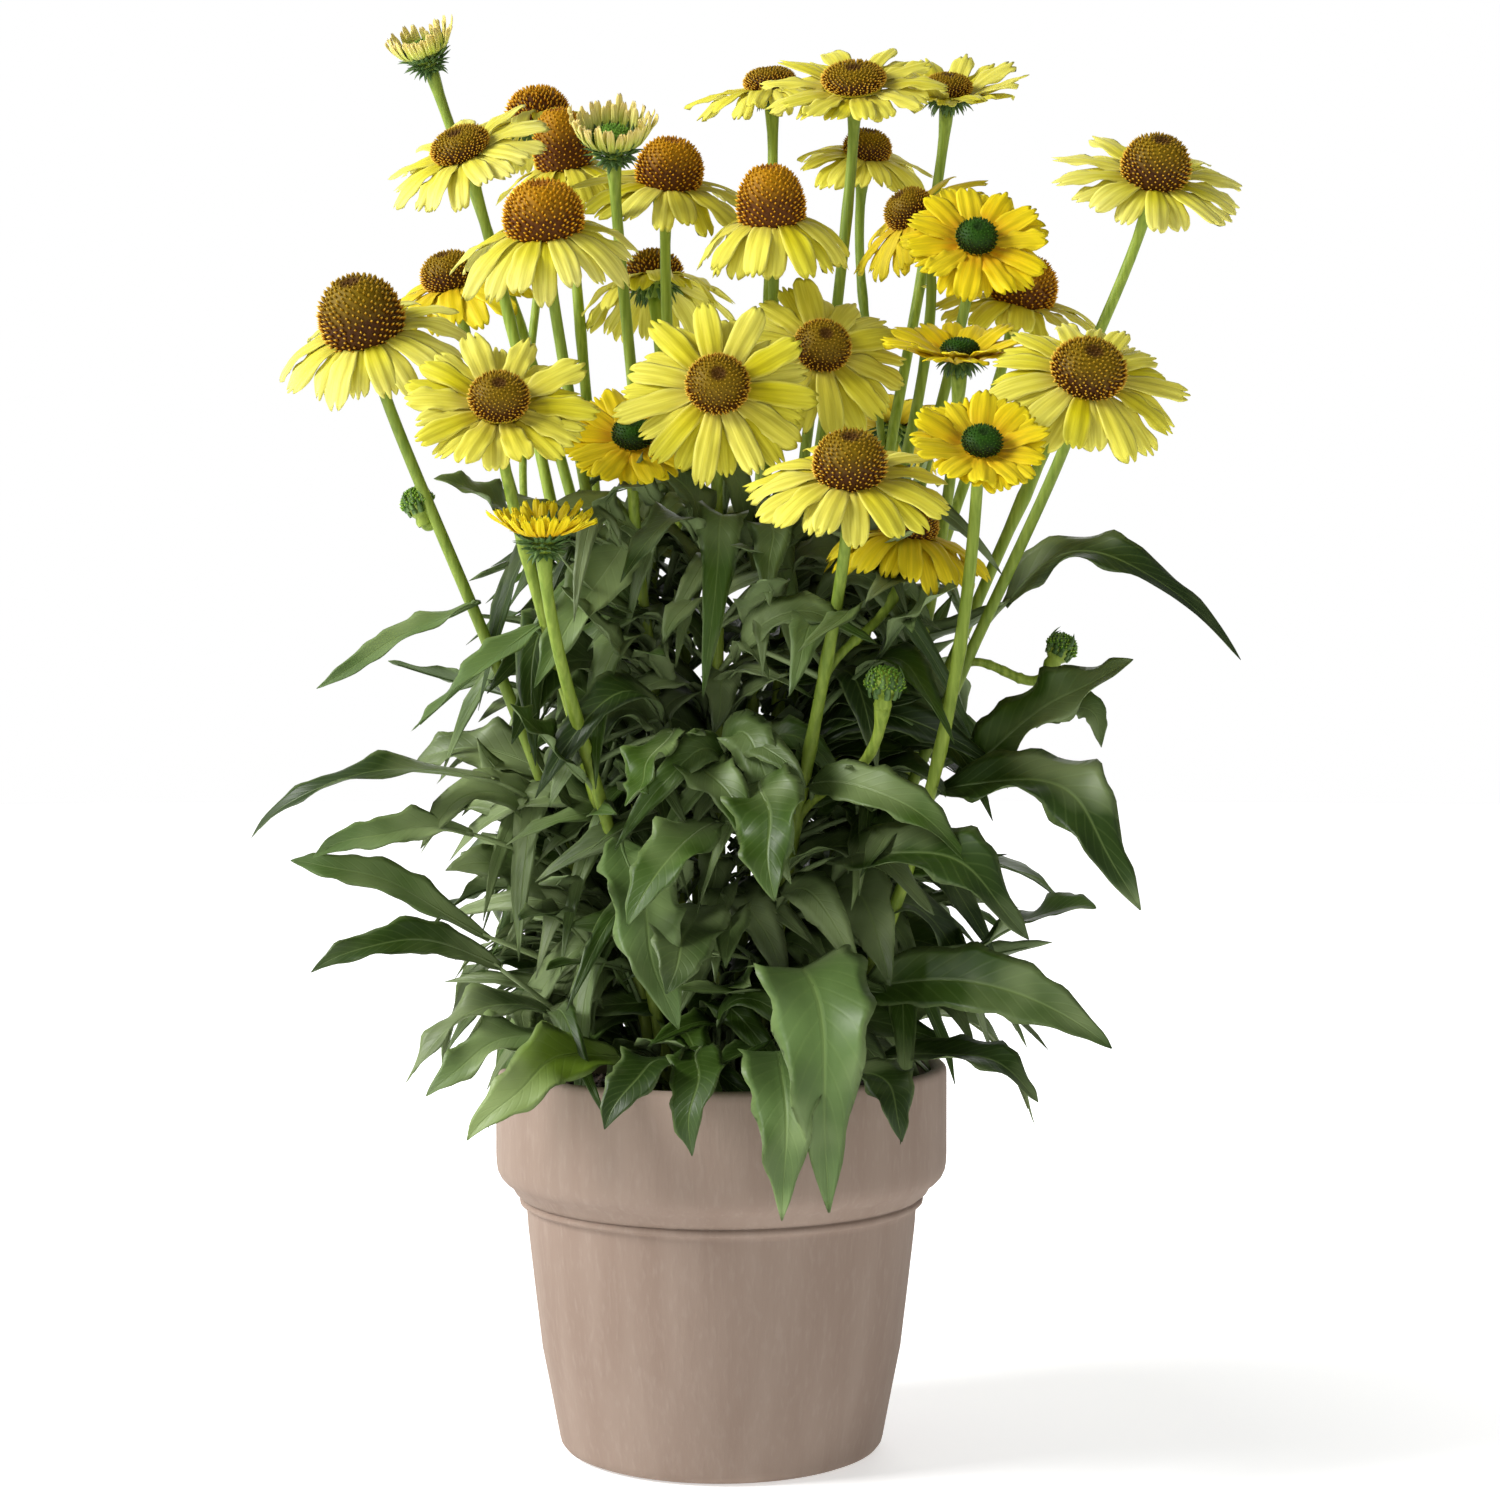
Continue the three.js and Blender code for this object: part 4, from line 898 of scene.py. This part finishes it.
def hub_disc(batch, head, inner):
    """The flat ring that the rays grow from."""
    rim = head.hub - 3.2
    radii = [inner, inner, rim + 2, rim + 2] if inner else [0.01, 0.01, rim, rim]
    places = head.rings(zip(radii, (-0.8, 0.5, 0.3, -0.5)), HUB_SIDES)
    numbers = np.arange(4 * HUB_SIDES).reshape(4, HUB_SIDES)
    batch.add(places, [grid_faces(np.concatenate([numbers, numbers[:1]]), closed=True)], along=0.05, tint=0.1)


def make_rays(head):
    batch = Batch()
    draw = seeded(RING_SEED + head.number)
    plans = ray_plans(head)
    half_out = ray_path(head.hub, head.long, head.rise, head.fall, RAY_ROOT)[0]
    half = min(5.9, math.pi * half_out / head.rays - 0.3)
    opening = head.kind == "opening"
    for plan in bud_plans(plans, draw) if opening else plans + under_plans(head, plans, draw):
        ray_sheet(batch, head, plan, half, draw)
    hub_disc(batch, head, head.cone_r * 0.8 if opening else 0)
    material = RAY_LIME if opening else RAY_YELLOW
    for keys, other in ((GOLD, RAY_GOLD), (PALE, RAY_PALE), (WARM, RAY_WARM)):
        material = other if head.key in keys else material
    kind = "bud" if opening else "bloom"
    make_piece(f"rays_{head.key}", batch, [material], [f"{kind}_{head.key}_rays"])


# Cones

def spines(batch, head, count, core_r, core_a, centre, long, thick, low_angle, draw, sink=0.0):
    """Stiff spines all over a dome, in the turns of a seed head."""
    quads = np.array([[k, (k + 1) % 4, 4 + (k + 1) % 4, 4 + k] for k in range(4)] + [[3, 2, 1, 0]])
    tips = np.array([[4 + k, 4 + (k + 1) % 4, 8] for k in range(4)])
    for i in range(count):
        down = math.acos(1 - (i + 0.5) / count * (1 - math.cos(low_angle)))
        angle = i * GOLDEN + between(draw, -0.06, 0.06)
        s, c = math.sin(down), math.cos(down)
        size = long * (0.42 + 0.58 * s) * between(draw, 0.82, 1.12)
        lean = max(0.12, c) + 0.42 * s
        across = head.way(1, angle + math.pi / 2, 0)
        way = head.way(1, angle, 0) * (s / math.hypot(s, lean)) + head.z * (lean / math.hypot(s, lean))
        foot = head.place(core_r * s, angle, centre + core_a * c - sink * math.exp(-((down / DIMPLE) ** 2)))
        ring = swing(across, np.cross(across, way), round_angles(4) + angle)
        places = np.concatenate([
            foot - way * 0.6 + ring * thick, foot + way * size * 0.5 + ring * thick * 0.85,
            (foot + way * size)[None]])
        batch.add(places, [quads, tips], [0] * 4 + [0.55] * 4 + [1.0], c * 0.5 + 0.5, draw() * 0.6)


def dome(batch, head, radius, semi, centre, low_angle, rows=9, sink=0.0):
    """The body below the spines, with a dimple of the depth sink in its top."""
    angles = np.concatenate([np.linspace(low_angle, 0.5, rows), [0.36, 0.26, 0.17, 0.08]])
    heights = centre + semi * np.cos(angles) - sink * bell(angles, 0, DIMPLE)
    rings = head.rings([(radius * math.sin(a), h) for a, h in zip(angles, heights)], DOME_SIDES)
    along = np.append(np.repeat(np.cos(angles) * 0.5 + 0.5, DOME_SIDES), [0, 1])
    loft(batch, rings, head.place(0, 0, centre + semi * math.cos(low_angle)),
         head.place(0, 0, centre + semi - sink), across=0.12, along=along, tint=0.3)


def make_cone(head):
    batch = Batch()
    radius, centre, semi, sink = head.cone_r, 1.15 + head.cone_h * 0.16, head.cone_h * 0.8, head.cone_h * 0.1
    low = math.radians(114)
    dome(batch, head, radius * 0.9, semi * 0.98, centre, low, sink=sink)
    count, long, thick = (230, 0.16, 0.046) if head.young else (430, 0.17, 0.037)
    spines(batch, head, count, radius * 0.88, semi * 0.96, centre, radius * long, radius * thick, low,
           seeded(CONE_SEED + head.number), sink)
    material = CONE_YOUNG if head.young else CONE_AMBER if head.key in AMBER else CONE_RIPE
    make_piece(f"cone_{head.key}", batch, [material], [f"bloom_{head.key}_cone"])


def make_bud_discs():
    """Green middles of the opening buds, and the spines that cover the closed ones."""
    batch = Batch()
    for head in HEADS.values():
        draw = seeded(DISC_SEED + head.number)
        radius, height = head.cone_r, head.cone_h
        if head.kind == "opening":
            dome(batch, head, radius * 0.76, height * 0.8, 0, math.radians(100), 8)
            spines(batch, head, 140, radius * 0.74, height * 0.78, 0, 2.0, 0.55, math.radians(96), draw)
        elif head.kind == "closed":
            spines(batch, head, 130, radius, height, height * 0.05, 2.1, 0.62, math.radians(92), draw)
    make_piece("bud_discs", batch, [DISC_GREEN])


# Leaves

STEM_PLACES = np.concatenate([bezier(stem_points(head), np.arange(1, 16) / 16) for head in HEADS.values()])


def stalk_foot(foot):
    """Where a leaf's stalk starts: in the crown for a low leaf, otherwise on the nearest stem below it."""
    if foot[2] < 235:
        share = min(1, 40 / math.hypot(foot[0], foot[1]))
        return np.array([foot[0] * share * 0.8, foot[1] * share * 0.8, CROWN_SHOULDER])
    far = np.linalg.norm(STEM_PLACES - foot, axis=1) + np.maximum(0, STEM_PLACES[:, 2] - foot[2] + 8) * 3
    return STEM_PLACES[int(np.argmin(far))]


def leaf_row(turn, bend, start, middle, end, height, rise, fall, half):
    """A row as in FRONT_LEAVES, for a leaf that points outward at a compass turn and bends to one side."""
    return (polar(start, turn, height), polar(start + middle, turn + bend * 0.4, height + rise),
            polar(start + end, turn + bend, height + fall), half)


def back_leaves():
    for i in range(BACK_LEAVES):
        draw = seeded(BACK_SEED + i)
        turn = math.radians(-8 + (196 * (i + between(draw, 0.1, 0.9))) / BACK_LEAVES)
        tier = i % 3
        height = (196, 262, 330)[tier] + between(draw, -14, 26)
        start = (70, 74, 66)[tier] + between(draw, -8, 10)
        long = between(draw, 78, 118) - tier * 8
        bend = between(draw, -0.3, 0.3)
        arch = between(draw, 4, 20)
        fall = -(between(draw, 22, 44), between(draw, -6, 34), between(draw, -34, 26))[tier]
        yield leaf_row(turn, bend, start, long * 0.55, long * 0.94, height, arch, fall, between(draw, 10, 15))


def middle_leaves():
    for i in range(MIDDLE_LEAVES):
        draw = seeded(MIDDLE_SEED + i)
        place = (i * 7) % MIDDLE_LEAVES + between(draw, 0.2, 0.8)
        turn = math.radians(-172 + 164 * place / MIDDLE_LEAVES)
        height = 204 + 180 * i / MIDDLE_LEAVES + between(draw, -8, 8)
        start = between(draw, 46, 72)
        long = between(draw, 56, 82)
        bend = between(draw, -0.35, 0.35)
        rise, fall = between(draw, 4, 16), -between(draw, 8, 48)
        yield leaf_row(turn, bend, start, long * 0.5, long, height, rise, fall, between(draw, 12, 17))


def inner_leaves():
    """Smaller leaves that fill the clump between the stems, inside the reach of the large ones."""
    for i in range(INNER_LEAVES):
        draw = seeded(INNER_SEED + i)
        turn = between(draw, 0, TAU)
        level = draw()
        height = 178 + 268 * level ** 1.1
        start = between(draw, 2, 66)
        if i % 4 == 0:
            # One in four stands among the stems on the left and right
            turn = between(draw, -0.9, 0.9) + (math.pi if i % 8 else 0)
            height, start = between(draw, 262, 430), between(draw, 30, 70)
        elif i % 5 == 2:
            # and some hang lower at both sides
            turn = between(draw, -0.8, 0.8) + (math.pi if i % 2 else 0)
            height, start = between(draw, 186, 300), between(draw, 44, 86)
        long = between(draw, 44, 86) * (1 - 0.25 * level)
        bend = between(draw, -0.7, 0.7)
        fall, rise = between(draw, -52, 34) * (0.4 + level), between(draw, 4, 20)
        yield leaf_row(turn, bend, start, long * 0.5, long, height, rise, fall, between(draw, 5.5, 12))


def leaf_sheet(batch, leaf, seed, tint, rows=36, cols=9):
    """One leaf: its blade, with a fold, ripples and teeth, and its stalk and midrib below."""
    draw = seeded(seed)
    foot, middle, tip = (np.array(p, float) for p in leaf[:3])
    half = leaf[3]
    curve = [foot, 2 * middle - foot / 2 - tip / 2, tip]
    wave = LEAF_WAVE * between(draw, 0.5, 1.2) * half / 12
    roll = between(draw, -0.35, 0.35)
    twist = between(draw, -1.1, 1.1) * max(0.25, 1.25 - half / 16)
    wander = between(draw, -0.32, 0.32) * half
    # The upper side turns to the light in front, or outward behind
    wanted = UP + (np.array([-0.2, -0.9, 0.0]) if foot[1] < 0 else 0.6 * unit([tip[0], tip[1], 0]))
    v = np.linspace(0, 1, rows)
    u = np.linspace(-1, 1, cols)
    down, edge = v[:, None], np.sign(u)[None]
    arched = np.sin(v * math.pi)
    centre = bezier(curve, v)
    tangent = bezier_tangent(curve, v)
    side = unit(np.cross(wanted, tangent))
    raised = np.cross(tangent, side)
    centre = centre + side * (wander * np.sin(v * TAU * 1.2 + seed) * arched)[:, None]
    rolled = roll + twist * (smooth(v, 0.15, 1) - 0.35)
    across, normal = swing(side, raised, rolled), swing(raised, -side, rolled)
    outline = np.sin(math.pi * np.clip(v, 0, 1) ** 0.72) ** 0.8
    width = (half * np.maximum(outline, 0.2 * (1 - v) ** 2 + 0.02))[:, None]
    # The teeth lengthen or shorten the blade at its edge, without a change of its surface
    teeth = 0.07 * np.sin(down * TAU * 5.5 + seed + edge) + 0.03 * np.sin(v * TAU * 9 + 2 * seed)[:, None]
    slid = u[None] * (1 + teeth * np.abs(u)[None] ** 3)
    far = np.abs(slid)
    fold = LEAF_FOLD * width * far ** 1.1
    ripple = wave * np.cos(TAU * (v - 0.16) / 0.43)[:, None] * (slid * far) * outline[:, None]
    flutter = 0.16 * half * np.sin(down * TAU * 3.1 + seed + edge * 1.3) * far ** 2.4
    lift = fold + ripple + flutter * arched[:, None]
    top = centre[:, None] + across[:, None] * (width * slid)[..., None] + normal[:, None] * lift[..., None]
    shown = on_sheet(np.tile(u, (rows, 1))), on_sheet(np.tile(down, (1, cols)))
    batch.add(*sheet(top, LEAF_THICK), *shown, tint, [0, 1])
    stalk = stalk_foot(foot)
    bend = (stalk + foot) / 2 + UP * 3
    stalk = [bezier([stalk, bend, foot + tangent[0] * 4], t)[0] for t in np.linspace(0, 1, 6)]
    rib = (centre - normal * 0.55)[::3]
    radii = np.linspace(1.2, 0.25, len(rib))
    for line, thick, sides in ((stalk, [1.7, 1.5, 1.4, 1.3, 1.2, 0.9], 6), (rib, radii, 5)):
        tube(batch, line, thick, sides, (0.1, 1, 0.05), kind=1, tint=tint)


def make_leaves():
    large, small = Batch(), Batch()
    for i, leaf in enumerate([*FRONT_LEAVES, *back_leaves(), *middle_leaves()]):
        drawn = between(seeded(TINT_SEED + i), 0.05, 0.56)
        tint = BRIGHT_TINT if i in BRIGHT_LEAVES else PALE_TINT if i in PALE_LEAVES else drawn
        leaf_sheet(large, leaf, BLADE_SEED + i, tint)
    for i, leaf in enumerate(inner_leaves()):
        tint = between(seeded(SMALL_TINT_SEED + i), 0.0, 0.52)
        leaf_sheet(small, leaf, SMALL_BLADE_SEED + i, tint, rows=15, cols=5)
    make_piece("leaves_large", large, [LEAF, LEAF_UNDER])
    make_piece("leaves_small", small, [LEAF, LEAF_UNDER])


# Stage: pale floor, soft light and the camera

def make_floor():
    batch = Batch()
    lathe(batch, [(0, -0.6), (9000, -0.6), (9000, -0.2), (0, -0.2)], 48)
    floor = add_object("floor", batch.mesh("floor"))
    shade = Shade("floor_pale", 0.9, Emission_Strength=1.0)
    place = shade.node("ShaderNodeTexCoord").outputs["Object"]
    away = shade.node("ShaderNodeVectorMath", [place], operation="LENGTH").outputs["Value"]
    shade.put(shade.shader.inputs["Emission Color"], shade.ramp(away, (0.25, 0.5), (0.9, 0.95)))
    floor.data.materials.append(shade.finish(shade.ramp(shade.noise(2, 2), (0.3, 0.86), (0.7, 0.9))))


def area_light(name, at, target, size, watts):
    data = bpy.data.lights.new(name, "AREA")
    data.shape, data.size, data.energy = "DISK", size, watts
    light = add_object(name, data)
    light.location = at
    light.rotation_euler = Vector(np.array(target) - np.array(at)).to_track_quat("-Z", "Y").to_euler()


def make_lights():
    area_light("key", (-2.4, -0.75, 2.0), (0, 0, 0.35), 1.3, 118)
    area_light("fill", (1.9, -1.6, 1.0), (0, 0, 0.35), 1.6, 6)
    area_light("back", (0.4, 2.0, 1.8), (0, 0, 0.45), 1.4, 12)
    # The sky is white round the horizon behind, dimmer above, on the right and in front
    world = bpy.data.worlds.new("studio")
    world.use_nodes = True
    sky = Nodes(world.node_tree)
    x, y, z = sky.node("ShaderNodeSeparateXYZ", [sky.node("ShaderNodeTexCoord").outputs["Generated"]]).outputs
    colour = sky.ramp(z, (0.29, 1.0), (0.5, 0.4))
    colour = sky.mix(1.0, colour, sky.ramp(x, (0.3, 1.0), (0.8, 0.4)), "MULTIPLY")
    colour = sky.mix(1.0, colour, sky.ramp(sky.math("ADD", y, 0.5), (0.2, 0.46), (0.75, 1.0)), "MULTIPLY")
    sky.put(sky.tree.nodes["Background"].inputs[0], colour)
    bpy.context.scene.world = world
    bpy.context.scene.view_settings.view_transform = "Standard"


def make_camera():
    data = bpy.data.cameras.new("camera")
    data.sensor_width = SENSOR
    data.lens = SENSOR * FOCAL_PX / PHOTO
    camera = add_object("camera", data)
    camera.location = [v * MM for v in CAMERA_AT]
    dip = math.atan((PHOTO / 2 - HORIZON_PX) / FOCAL_PX)
    camera.rotation_euler = (math.pi / 2 - dip, 0, 0)
    bpy.context.scene.camera = camera


make_camera()
make_pot()
make_soil()
make_stems()
make_bracts()
for bloom in HEADS.values():
    if bloom.kind != "closed":
        make_rays(bloom)
    if bloom.kind == "open":
        make_cone(bloom)
make_bud_discs()
make_leaves()
make_floor()
make_lights()
